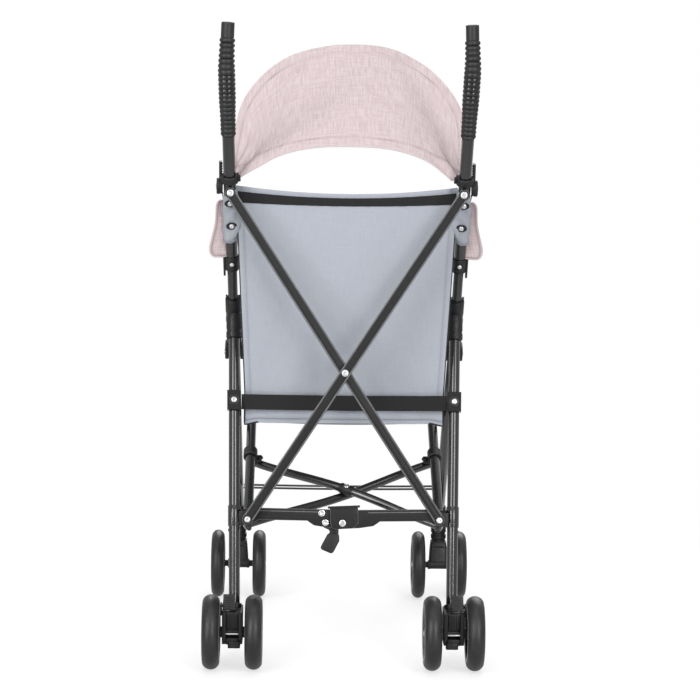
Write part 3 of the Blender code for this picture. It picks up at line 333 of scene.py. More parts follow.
def rounded_path(path, radius, edge):
    """Adds small rounded ends to a path, and gives the radius at each of its points."""
    turns = [radians(angle) for angle in (90, 60, 30, 0)]
    first = (path[1] - path[0]).normalized()
    last = (path[-1] - path[-2]).normalized()
    head = [path[0] + first * edge * (1 - sin(turn)) for turn in turns]
    tail = [path[-1] - last * edge * (1 - sin(turn)) for turn in turns[::-1]]
    rounds = [radius - edge * (1 - cos(turn)) for turn in turns]
    return head + path[1:-1] + tail, rounds + [radius] * (len(path) - 2) + rounds[::-1]


def inset(outline, distance):
    """An outline's corners moved inwards."""
    count = len(outline)
    corners = zip([outline[-1]] + outline[:-1], outline)
    area = sum(before[0] * point[1] - point[0] * before[1] for before, point in corners)
    turn = 1 if area > 0 else -1
    moved = []
    for i, (u, v) in enumerate(outline):
        before = outline[i - 1]
        after = outline[(i + 1) % count]
        first = Vector((u - before[0], v - before[1])).normalized()
        second = Vector((after[0] - u, after[1] - v)).normalized()
        one = Vector((-first.y, first.x)) * turn
        two = Vector((-second.y, second.x)) * turn
        push = (one + two) * distance / max(0.4, 1 + one.dot(two))
        moved.append((u + push.x, v + push.y))
    return moved


def arc(centre_u, centre_v, radius, start, end, steps):
    """Points on a circle between two angles in degrees."""
    turns = [radians(start + (end - start) * i / steps) for i in range(steps + 1)]
    return [(centre_u + radius * cos(turn), centre_v + radius * sin(turn)) for turn in turns]


def rounded_rect(wide, high, corner, steps=4):
    u = wide / 2 - corner
    v = high / 2 - corner
    corners = ((u, v, 0), (-u, v, 90), (-u, -v, 180), (u, -v, 270))
    return [point for a, b, start in corners for point in arc(a, b, corner, start, start + 90, steps)]


def mirrored(half):
    """Points on one side of the middle, after their mirror images on the other."""
    return [(-u, v) for u, v in half[::-1]] + half


def circle(middle, first, second, radius, sides):
    """A ring of points round a place, along two ways that stand square on each other."""
    turns = [2 * pi * j / sides for j in range(sides)]
    return [middle + first * radius * cos(turn) + second * radius * sin(turn) for turn in turns]


class Shell:
    """Gathers the skins of one piece, then makes its mesh."""

    def __init__(self):
        self.points = []
        self.faces = []
        self.marks = []
        self.cloth = []

    def skin(self, rings, mark=0, closed=False, ends=True):
        """Faces between rings of points, all with one finish or each band with its own."""
        base = len(self.points)
        count = len(rings[0])
        total = len(rings)
        for row in rings:
            self.points.extend(row)
        self.cloth.extend([(0.0, 0.0, 1.0)] * (count * total))
        bands = total if closed else total - 1
        for i in range(bands):
            a = base + i * count
            b = base + ((i + 1) % total) * count
            band_mark = mark[i] if isinstance(mark, list) else mark
            for j in range(count):
                k = (j + 1) % count
                self.faces.append((a + j, a + k, b + k, b + j))
                self.marks.append(band_mark)
        if ends and not closed:
            self.faces.append(tuple(range(base, base + count)))
            self.faces.append(tuple(range(base + (total - 1) * count, base + total * count)))
            last = mark[-1] if isinstance(mark, list) else mark
            self.marks += [last, last]
        return self

    def tube(self, path, radii, sides=32, mark=0, edge=0.0):
        """A round skin along a path, its frames carried along without twist."""
        if edge:
            path, radii = rounded_path(path, radii, edge)
        if not isinstance(radii, list):
            radii = [radii] * len(path)
        rings = []
        first = None
        for i, place in enumerate(path):
            way = (path[min(i + 1, len(path) - 1)] - path[max(i - 1, 0)]).normalized()
            if first is None:
                first, second = across_axis(way)
            else:
                first = (first - way * first.dot(way)).normalized()
                second = way.cross(first)
            rings.append(circle(place, first, second, radii[i], sides))
        return self.skin(rings, mark)

    def rod(self, start, end, radius, sides=32, mark=0, edge=0.0006):
        return self.tube([start, end], radius, sides, mark, edge)

    def turned(self, centre, axis, profile, sides=48, mark=0, closed=False):
        """A profile of distances along an axis and radii, spun round it."""
        first, second = across_axis(axis)
        rings = [circle(centre + axis * along, first, second, radius, sides) for along, radius in profile]
        return self.skin(rings, mark, closed)

    def slab(self, outline, origin, axes, low, high, edge=0.0008, mark=0, edge_mark=None):
        """A flat plate with rounded edges, drawn as an outline along the first two axes."""
        first, second, third = axes
        turns = [radians(angle) for angle in (0, 30, 60, 90)]
        levels = [(low + edge * (1 - sin(turn)), edge * (1 - cos(turn))) for turn in turns[::-1]]
        levels += [(high - edge * (1 - sin(turn)), edge * (1 - cos(turn))) for turn in turns]
        rings = []
        for level, depth in levels:
            shape = inset(outline, depth) if depth > 1e-7 else outline
            rings.append([origin + first * u + second * v + third * level for u, v in shape])
        band = mark if edge_mark is None else edge_mark
        marks = [band] * 3 + [mark] + [band] * 3
        self.skin(rings, marks, ends=False)
        count = len(outline)
        base = len(self.points) - count * len(rings)
        self.faces.append(tuple(range(base, base + count)))
        self.faces.append(tuple(range(len(self.points) - count, len(self.points))))
        self.marks += [mark, mark]
        return self

    def box(self, centre, size, axes=SQUARE, edge=0.0008, mark=0):
        wide, deep, high = size
        outline = rounded_rect(wide, deep, min(edge * 1.6, min(wide, deep) * 0.45), 3)
        return self.slab(outline, centre, axes, -high / 2, high / 2, edge, mark)

    def rivet(self, place, way, radius, height, mark):
        """A tubular rivet's head with its small hollow."""
        profile = [
            (0.0, radius),
            (height * 0.35, radius),
            (height * 0.72, radius * 0.9),
            (height * 0.95, radius * 0.72),
            (height, radius * 0.56),
            (height * 0.96, radius * 0.42),
            (height * 0.62, radius * 0.34),
            (height * 0.55, radius * 0.04),
        ]
        return self.turned(place, way.normalized(), profile, 28, mark)

    def sheet(self, rows, thickness, side=1, mark=0, seam=None, plumb=False):
        """A closed cloth over a grid of points, carrying its own cut measure in metres."""
        high = len(rows)
        wide = len(rows[0])
        across = [0.0]
        for j in range(1, wide):
            across.append(across[-1] + (rows[high // 2][j] - rows[high // 2][j - 1]).length)
        down = [0.0]
        for i in range(1, high):
            down.append(down[-1] + (rows[i][wide // 2] - rows[i - 1][wide // 2]).length)
        base = len(self.points)
        top = []
        back = []
        cuts = []
        for i in range(high):
            for j in range(wide):
                over = rows[i][min(j + 1, wide - 1)] - rows[i][max(j - 1, 0)]
                along = rows[min(i + 1, high - 1)][j] - rows[max(i - 1, 0)][j]
                normal = over.cross(along).normalized()
                top.append(rows[i][j])
                back.append(rows[i][j] + normal * thickness * side)
                measure = rows[i][j].x if plumb else across[j]
                cuts.append((measure, down[i], seam[i][j] if seam else 1.0))
        self.points.extend(top + back)
        self.cloth.extend(cuts + cuts)
        total = high * wide
        for i in range(high - 1):
            for j in range(wide - 1):
                a = base + i * wide + j
                b, c, d = a + 1, a + wide + 1, a + wide
                self.faces.append((a, b, c, d))
                self.faces.append((total + d, total + c, total + b, total + a))
                self.marks += [mark, mark]
        rim = list(range(wide))
        rim += [i * wide + wide - 1 for i in range(1, high)]
        rim += [(high - 1) * wide + j for j in range(wide - 2, -1, -1)]
        rim += [i * wide for i in range(high - 2, 0, -1)]
        for k, a in enumerate(rim):
            b = rim[(k + 1) % len(rim)]
            self.faces.append((base + b, base + a, base + total + a, base + total + b))
            self.marks.append(mark)
        return across[-1], down[-1]

    def piece(self, name, body, finishes, *nodes):
        """Makes the mesh with its finishes, hangs it on its body, and hides the nodes that it stands for."""
        mesh = bpy.data.meshes.new(name)
        mesh.from_pydata([tuple(point) for point in self.points], [], self.faces)
        mesh.polygons.foreach_set("material_index", self.marks)
        layer = mesh.attributes.new("cloth", "FLOAT_VECTOR", "POINT")
        layer.data.foreach_set("vector", [value for cut in self.cloth for value in cut])
        work = bmesh.new()
        work.from_mesh(mesh)
        bmesh.ops.recalc_face_normals(work, faces=work.faces)
        work.to_mesh(mesh)
        work.free()
        mesh.shade_smooth()
        mesh.set_sharp_from_angle(angle=radians(38))
        for finish in finishes:
            mesh.materials.append(LOOKS[finish])
        made = bpy.data.objects.new(name, mesh)
        bpy.context.scene.collection.objects.link(made)
        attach(made, body)
        if nodes:
            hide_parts(*nodes)
        return made


def folds_with_frame(made):
    """Gives the cloth its own copy of its mesh."""
    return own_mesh(made)


class Value:
    """A shader socket that can stand in sums."""

    def __init__(self, finish, socket):
        self.finish = finish
        self.socket = socket

    def _sum(self, operation, *parts):
        return self.finish.node("ShaderNodeMath", {"operation": operation}, list(parts))

    def __add__(self, other):
        return self._sum("ADD", self, other)

    __radd__ = __add__

    def __sub__(self, other):
        return self._sum("SUBTRACT", self, other)

    def __rsub__(self, other):
        return self._sum("SUBTRACT", other, self)

    def __mul__(self, other):
        return self._sum("MULTIPLY", self, other)

    __rmul__ = __mul__

    def __pow__(self, other):
        return self._sum("POWER", self, other)

    def wave(self):
        return self._sum("SINE", self)

    def size(self):
        return self._sum("ABSOLUTE", self)

    def held(self, low, high, to_low=0.0, to_high=1.0):
        """Mapped from one range onto another, and held inside it."""
        settings = {"clamp": True, "interpolation_type": "SMOOTHSTEP"}
        return self.finish.node("ShaderNodeMapRange", settings, [self, low, high, to_low, to_high])


class Finish:
    """One material, built from expressions on its sockets."""

    def __init__(self, name):
        self.material = bpy.data.materials.new(name)
        self.material.use_nodes = True
        self.tree = self.material.node_tree
        self.shader = self.tree.nodes["Principled BSDF"]

    def node(self, kind, settings=None, values=(), out=0):
        """A new node, its settings first and then the values or links of its sockets."""
        made = self.tree.nodes.new(kind)
        for key, value in (settings or {}).items():
            setattr(made, key, value)
        pairs = values.items() if isinstance(values, dict) else enumerate(values)
        for key, value in pairs:
            socket = made.inputs[key]
            if isinstance(value, Value):
                self.tree.links.new(value.socket, socket)
            elif value is not None:
                socket.default_value = value
        return Value(self, made.outputs[out])

    def place(self):
        return self.node("ShaderNodeTexCoord", out="Object")

    def cut(self):
        """The cloth's own measure: across, down, and the distance to its nearest seam."""
        measure = self.node("ShaderNodeAttribute", {"attribute_name": "cloth"}, out="Vector")
        return [self.node("ShaderNodeSeparateXYZ", None, [measure], out=k) for k in range(3)]

    def joined(self, x, y, z=0.0):
        return self.node("ShaderNodeCombineXYZ", None, [x, y, z])

    def noise(self, where, scale, detail=3.0, rough=0.55):
        values = {"Vector": where, "Scale": scale, "Detail": detail, "Roughness": rough}
        return self.node("ShaderNodeTexNoise", None, values)

    def blend(self, share, first, second):
        settings = {"data_type": "RGBA", "clamp_factor": True}
        return self.node("ShaderNodeMix", settings, {0: share, 6: first, 7: second}, out=2)

    def bump(self, height, strength, distance):
        values = {"Height": height, "Strength": strength, "Distance": distance}
        return self.node("ShaderNodeBump", None, values)

    def set(self, **sockets):
        """Feeds the shader's sockets, and gives back the finished material."""
        for name, value in sockets.items():
            socket = self.shader.inputs[name.replace("_", " ")]
            if isinstance(value, Value):
                self.tree.links.new(value.socket, socket)
            else:
                socket.default_value = value
        return self.material


def shade(colour, share):
    """A colour made lighter or darker, with its alpha."""
    return tuple(min(1.0, part * share) for part in colour[:3]) + (1.0,)


def painted(name, colour, roughness, coat, gloss=0.5):
    """Sprayed paint on metal: a faint orange peel, and handling marks in its gloss."""
    look = Finish(name)
    place = look.place()
    peel = look.noise(place, 420.0, 2.0)
    marks = look.noise(place, 16.0, 1.0, 0.5)
    dust = look.noise(place, 160.0, 4.0)
    body = look.blend(dust.held(0.45, 0.75), shade(colour, 0.92), shade(colour, 1.25))
    look.shader.inputs["Specular IOR Level"].default_value = gloss
    return look.set(
        Base_Color=body,
        Roughness=marks.held(0.35, 0.75, roughness - 0.01, roughness + 0.02),
        Coat_Weight=coat,
        Coat_Roughness=0.13,
        Normal=look.bump(peel, 0.0016, 0.0002),
    )


def moulded(name, colour, roughness, grain=0.00025):
    """Moulded plastic with a fine spark-eroded grain and a little scuffing."""
    look = Finish(name)
    place = look.place()
    pits = look.noise(place, 1500.0, 3.0, 0.6)
    scuff = look.noise(place, 60.0, 6.0, 0.7)
    body = look.blend(scuff.held(0.5, 0.8), shade(colour, 0.9), shade(colour, 1.45))
    return look.set(
        Base_Color=body,
        Roughness=scuff.held(0.3, 0.75, roughness - 0.07, roughness + 0.12),
        Normal=look.bump(pits, 0.35, grain),
    )


def grip_foam(name, colour):
    """Dull foam that hands have polished where the grip bends."""
    look = Finish(name)
    place = look.place()
    up = look.node("ShaderNodeSeparateXYZ", None, [place], out=2)
    polish = 1.0 - (up - GRIP_BEND_UP).size().held(0.012, 0.028)
    pores = look.noise(place, 1500.0, 3.0, 0.6)
    wear = look.noise(place, 70.0, 4.0)
    return look.set(
        Base_Color=look.blend(wear.held(0.45, 0.75), shade(colour, 0.92), shade(colour, 1.35)),
        Roughness=wear.held(0.3, 0.7, 0.42, 0.52) - polish * 0.32,
        Normal=look.bump(pores, 0.15, 0.0001),
    )


def foam_tyre(name, colour):
    """Foamed tyre: fine rings left by its mould round the tread, dusty towards the middle."""
    look = Finish(name)
    place = look.place()
    across = look.node("ShaderNodeSeparateXYZ", None, [place])
    rings = look.noise(look.joined(across * 2600.0, 0.0, 0.0), 1.0, 2.0)
    pores = look.noise(place, 1100.0, 3.0)
    dust = look.noise(place, 55.0, 5.0, 0.65)
    body = look.blend(dust.held(0.38, 0.78), shade(colour, 0.85), shade(colour, 1.45))
    return look.set(
        Base_Color=body,
        Roughness=dust.held(0.3, 0.8, 0.34, 0.5),
        Normal=look.bump(rings * 0.4 + pores, 0.35, 0.0003),
    )


def metal(name, colour, roughness):
    """Bare metal with the fine marks of its making."""
    look = Finish(name)
    brush = look.noise(look.place(), 700.0, 4.0)
    return look.set(
        Base_Color=look.blend(brush, shade(colour, 0.86), shade(colour, 1.08)),
        Metallic=1.0,
        Roughness=brush.held(0.3, 0.7, roughness - 0.06, roughness + 0.1),
    )


def stitch_mask(across, down, seam):
    """The sewn line at a seam and the short stitches in it, from the cut's own measure."""
    line = 1.0 - seam.size().held(0.0006, 0.0014)
    dash = ((across + down) * (2 * pi / STITCH_LENGTH)).wave().held(-0.55, -0.2)
    return line, line * dash


def woven(name, light, dark, thread, pitch, slub, sheen):
    """Plain-woven cloth, with slubs, the thick places in the yarns, running both ways of the weave, and
    painted shade along its seams.
    """
    look = Finish(name)
    across, down, seam = look.cut()
    warp = (across * (2 * pi / pitch)).wave()
    weft = (down * (2 * pi / pitch)).wave()
    weave = warp * weft * 0.5 + 0.5
    thick = 0.5 / pitch
    stretch = 0.065
    warp_slub = look.noise(look.joined(across * thick, down * thick * stretch), 1.0, 5.0, 0.72)
    weft_slub = look.noise(look.joined(across * thick * stretch, down * thick, 7.0), 1.0, 5.0, 0.72)
    cloud = look.noise(look.joined(across * 16.0, down * 16.0, 3.0), 1.0, 3.0)
    yarn = (warp_slub * 0.55 + weft_slub * 0.45).held(0.41, 0.6)
    body = look.blend(yarn * slub + weave * (1.0 - slub) * 0.5 + cloud * 0.08 - 0.02, light, dark)
    line, dash = stitch_mask(across, down, seam)
    # Painted shade: the cloth is darkened on each seam's line and in a band beside it, where shade falls in
    # the seam's groove.
    fold = 1.0 - seam.size().held(0.001, 0.0055)
    seam_shaded = look.blend(line * 0.8 + fold * 0.3, body, shade(dark, 0.66))
    sewn = look.blend(dash * 0.6, seam_shaded, thread)
    height = weave * 0.5 + yarn * 0.7 - line * 1.8 + dash * 0.9
    look.shader.inputs["Sheen Weight"].default_value = sheen
    look.shader.inputs["Sheen Roughness"].default_value = 0.5
    return look.set(
        Base_Color=sewn,
        Roughness=yarn.held(0.0, 1.0, 0.84, 0.94),
        Normal=look.bump(height, 0.55, 0.00035),
    )


def ribbed(name, colour):
    """Woven webbing: ribs across the band and a firmer edge."""
    look = Finish(name)
    across, down, seam = look.cut()
    rib = ((across + down * 0.12) * (2 * pi / RIB_PITCH)).wave()
    cord = (down * (2 * pi / CORD_PITCH)).wave()
    fuzz = look.noise(look.joined(across * 700.0, down * 700.0), 1.0, 4.0)
    body = look.blend(fuzz.held(0.4, 0.75) * 0.7 + rib * 0.15, shade(colour, 0.85), shade(colour, 1.9))
    dash = stitch_mask(across, down, seam)[1]
    look.shader.inputs["Sheen Weight"].default_value = 0.04
    return look.set(
        Base_Color=look.blend(dash * 0.6, body, shade(colour, 3.0)),
        Roughness=fuzz.held(0.3, 0.7, 0.74, 0.9),
        Normal=look.bump(rib * 0.5 + cord * 0.35 + fuzz * 0.4, 0.5, 0.0004),
    )


class StrollerColours(bpy.types.PropertyGroup):
    """The finishes that a user would change."""

    canopy: bpy.props.FloatVectorProperty(
        name="Canopy", description="Lighter yarn of the canopy cloth", subtype="COLOR", size=4,
        min=0.0, max=1.0, default=(0.705, 0.606, 0.615, 1.0),
    )
    canopy_yarn: bpy.props.FloatVectorProperty(
        name="Canopy yarn", description="Darker yarn of the canopy cloth", subtype="COLOR", size=4,
        min=0.0, max=1.0, default=(0.53, 0.41, 0.423, 1.0),
    )
    seat: bpy.props.FloatVectorProperty(
        name="Seat", description="Lighter yarn of the seat cloth", subtype="COLOR", size=4,
        min=0.0, max=1.0, default=(0.44, 0.468, 0.525, 1.0),
    )
    seat_yarn: bpy.props.FloatVectorProperty(
        name="Seat yarn", description="Darker yarn of the seat cloth", subtype="COLOR", size=4,
        min=0.0, max=1.0, default=(0.355, 0.38, 0.43, 1.0),
    )
    tubes: bpy.props.FloatVectorProperty(
        name="Tubes", description="Paint of the round tubes", subtype="COLOR", size=4,
        min=0.0, max=1.0, default=(0.01, 0.01, 0.011, 1.0),
    )
    bars: bpy.props.FloatVectorProperty(
        name="Flat bars", description="Paint of the flat bars and the lock", subtype="COLOR", size=4,
        min=0.0, max=1.0, default=(0.0125, 0.0125, 0.0132, 1.0),
    )
    plastic: bpy.props.FloatVectorProperty(
        name="Plastic", description="Moulded brackets, hubs and pedals", subtype="COLOR", size=4,
        min=0.0, max=1.0, default=(0.0085, 0.0085, 0.0092, 1.0),
    )
    rubber: bpy.props.FloatVectorProperty(
        name="Grips and tyres", description="Foam of the grips and tyres", subtype="COLOR", size=4,
        min=0.0, max=1.0, default=(0.0135, 0.0138, 0.015, 1.0),
    )


class StrollerSizes(bpy.types.PropertyGroup):
    """The visible sizes that a user would change."""

    cloth: bpy.props.FloatProperty(
        name="Cloth", description="Thickness of the cloth",
        default=0.0012, min=0.0005, max=0.003, unit="LENGTH",
    )
    webbing: bpy.props.FloatProperty(
        name="Webbing", description="Thickness of the webbing",
        default=0.0016, min=0.0008, max=0.003, unit="LENGTH",
    )
    weave: bpy.props.FloatProperty(
        name="Weave", description="Distance between the canopy's yarns",
        default=0.0011, min=0.0004, max=0.004, unit="LENGTH",
    )
    grip_ribs: bpy.props.IntProperty(
        name="Grip ribs", description="Rounded ribs along each grip", default=21, min=6, max=40,
    )
    seam: bpy.props.FloatProperty(
        name="Hem", description="Distance of the canopy's seams from its edges",
        default=0.019, min=0.004, max=0.04, unit="LENGTH",
    )


class STROLLER_OT_finishes(bpy.types.Operator):
    """Makes the paints, plastics, cloths and metals"""

    bl_idname = "stroller.finishes"
    bl_label = "Finishes"

    def execute(self, context):
        colours = context.scene.stroller_colours
        sizes = context.scene.stroller_sizes
        LOOKS["tube"] = painted("tube_paint", colours.tubes, 0.17, 0.8)
        LOOKS["bar"] = painted("bar_paint", colours.bars, 0.44, 0.05, 0.32)
        # The edge finish is the bar paint made eleven times lighter: a painted highlight along the rolled
        # edges, ribs and beads.
        LOOKS["bar_edge_highlight"] = painted("bar_painted_edge_highlight", shade(colours.bars, 11.0), 0.34, 0.1)
        LOOKS["plastic"] = moulded("moulded_plastic", colours.plastic, 0.42)
        LOOKS["gloss"] = moulded("polished_plastic", colours.plastic, 0.26, 0.0001)
        # The rims' lips are a light grey, much lighter than the black wheels: a painted highlight that shows
        # as a thin light ring.
        LOOKS["rim_lip_painted_highlight"] = moulded("rim_lip_painted_highlight", (0.36, 0.36, 0.365), 0.28, 0.0001)
        LOOKS["grip"] = grip_foam("grip_foam", colours.rubber)
        LOOKS["tyre"] = foam_tyre("foam_tyre", colours.rubber)
        LOOKS["steel"] = metal("rivet_steel", (0.8, 0.8, 0.82), 0.26)
        LOOKS["pink"] = woven(
            "canopy_cloth", colours.canopy, colours.canopy_yarn, shade(colours.canopy_yarn, 0.9),
            sizes.weave, 0.78, 0.08,
        )
        LOOKS["grey"] = woven(
            "seat_cloth", colours.seat, colours.seat_yarn, shade(colours.seat_yarn, 0.8), 0.0008, 0.35, 0.08
        )
        LOOKS["webbing"] = ribbed("webbing", (0.0062, 0.0062, 0.007))
        LOOKS["binding"] = ribbed("binding", (0.02, 0.02, 0.023))
        return {"FINISHED"}


class STROLLER_OT_side_tubes(bpy.types.Operator):
    """Builds the rear legs, the push tubes and the front legs"""

    bl_idname = "stroller.side_tubes"
    bl_label = "Side tubes"

    def execute(self, context):
        for name, side in SIDES.items():
            body = f"{name}_frame"
            leg = Shell()
            down = leg_down(side)
            leg.rod(leg_at(side, LEG_END_UP), on_side(side, APEX) + down * 0.0225, LEG_RADIUS, 40)
            outward = ACROSS * side
            for up in LEG_RIVETS_UP:
                place = leg_at(side, up) + outward * (LEG_RADIUS - 0.0006)
                leg.rivet(place, outward, 0.0026, 0.0016, 1)
            leg.piece(f"{name}_leg_tube", body, ("tube", "plastic"), f"{name}_rear_leg")

            push = Shell()
            way = push_way(side)
            low = push_hinge(side) + way * 0.0195
            push.rod(low, push_at(side, SLEEVE_FROM + 0.006), PUSH_LOWER_RADIUS, 40)
            upper = [push_at(side, SLEEVE_FROM + 0.004)] + push_path(side)
            push.tube(upper, PUSH_RADIUS, 40, 0, 0.001)
            top = pivot_of(f"{name}_bar_pivot")
            axis = axis_of(f"{name}_bar_pivot")
            high = BAR_SPACING + BAR_THICKNESS if side > 0 else -BAR_SPACING
            behind = push_at(side, top.z)
            start = top + axis * ((behind - top).dot(axis) + 0.003)
            push.rod(start, top + axis * (high - BAR_THICKNESS - 0.0003), 0.0062, 28, 1)
            push.rod(start, top + axis * (high + 0.001), PIN_RADIUS, 20, 2)
            push.rivet(top + axis * (high + 0.0003), axis, 0.006, HEAD_HEIGHT, 2)
            push.piece(f"{name}_push_tube_paint", body, ("tube", "plastic", "steel"), f"{name}_push_tube")

            self.sleeve(name, side, body)

            front = Shell()
            hinge = push_hinge(side)
            foot = on_side(side, FRONT_LEG_FOOT)
            way = (foot - hinge).normalized()
            front.rod(hinge + way * 0.009, foot, FRONT_LEG_RADIUS, 40)
            eye = mirrored([(0.0085, 0.0112), (0.0093, 0.0104)])
            front.turned(hinge, ACROSS, eye, 36, 1)
            front.piece(f"{name}_front_tube", f"{name}_front_leg", ("tube", "plastic"), f"{name}_front_leg")
        return {"FINISHED"}

    def sleeve(self, name, side, body):
        """The stepped plastic ring on the push tube with the hook that holds the folded frame shut."""
        ring = Shell()
        way = push_way(side)
        low = push_at(side, SLEEVE_FROM)
        length = (push_at(side, SLEEVE_TO) - low).length
        profile = [
            (0.0, 0.009), (0.0003, 0.0108), (0.0012, 0.0114), (0.0085, 0.0116), (0.0092, 0.0112),
            (0.01, 0.0116), (length - 0.0014, 0.0116), (length - 0.0004, 0.0111), (length, 0.0095),
        ]
        ring.turned(low, way, profile, 40)
        rearward = (-AHEAD - way * (-AHEAD).dot(way)).normalized()
        middle = low + way * length * 0.55
        ring.rivet(middle + rearward * 0.011, rearward, 0.0036, 0.0016, 1)
        outward = ACROSS * side
        axes = (rearward, way, outward)
        hook = [
            (-0.0055, 0.0085), (0.0045, 0.0085), (0.0045, -0.004), (0.004, -0.025), (-0.0035, -0.025),
            (-0.0055, -0.004),
        ]
        ring.slab(hook, middle, axes, 0.0108, 0.0142, 0.0006)
        lip = [(-0.005, 0.006), (0.004, 0.006), (0.004, 0.0102), (-0.005, 0.0102)]
        ring.slab(lip, middle, axes, 0.006, 0.0142, 0.0006)
        ring.piece(f"{name}_sleeve_ring", body, ("plastic", "steel"))


class STROLLER_OT_grips(bpy.types.Operator):
    """Builds the ribbed foam grips, thicker where they bend"""

    bl_idname = "stroller.grips"
    bl_label = "Grips"

    def execute(self, context):
        ribs = context.scene.stroller_sizes.grip_ribs
        for name, side in SIDES.items():
            path = resample(push_path(side, PUSH_TOP_UP + 0.0088), 0.00095)
            total = sum((b - a).length for a, b in zip(path, path[1:]))
            step = total / (len(path) - 1)
            radii = []
            for i in range(len(path)):
                at = i * step
                left = total - at
                if left < GRIP_CAP:
                    inward = 1 - min(1.0, left / GRIP_CAP_EDGE)
                    radii.append(GRIP_CAP_RADIUS - GRIP_CAP_EDGE * (1 - sqrt(max(0.0, 1 - inward**2))))
                    continue
                near_end = smooth(total - 0.085, total - 0.035, at)
                body = GRIP_RADIUS + GRIP_SWELL * smooth(0.02, 0.075, at) * (1 - near_end)
                wave = abs(sin(pi * ribs * at / (total - GRIP_CAP))) ** 0.62
                height = GRIP_RIB * smooth(0.0, 0.004, at) + 0.0001
                radii.append(body - 0.0012 + height * wave)
            radii[0] = PUSH_RADIUS + 0.0004
            grip = Shell()
            grip.tube(path, radii, 40)
            grip.piece(f"{name}_ribbed_grip", f"{name}_frame", ("grip",), f"{name}_grip")
        return {"FINISHED"}


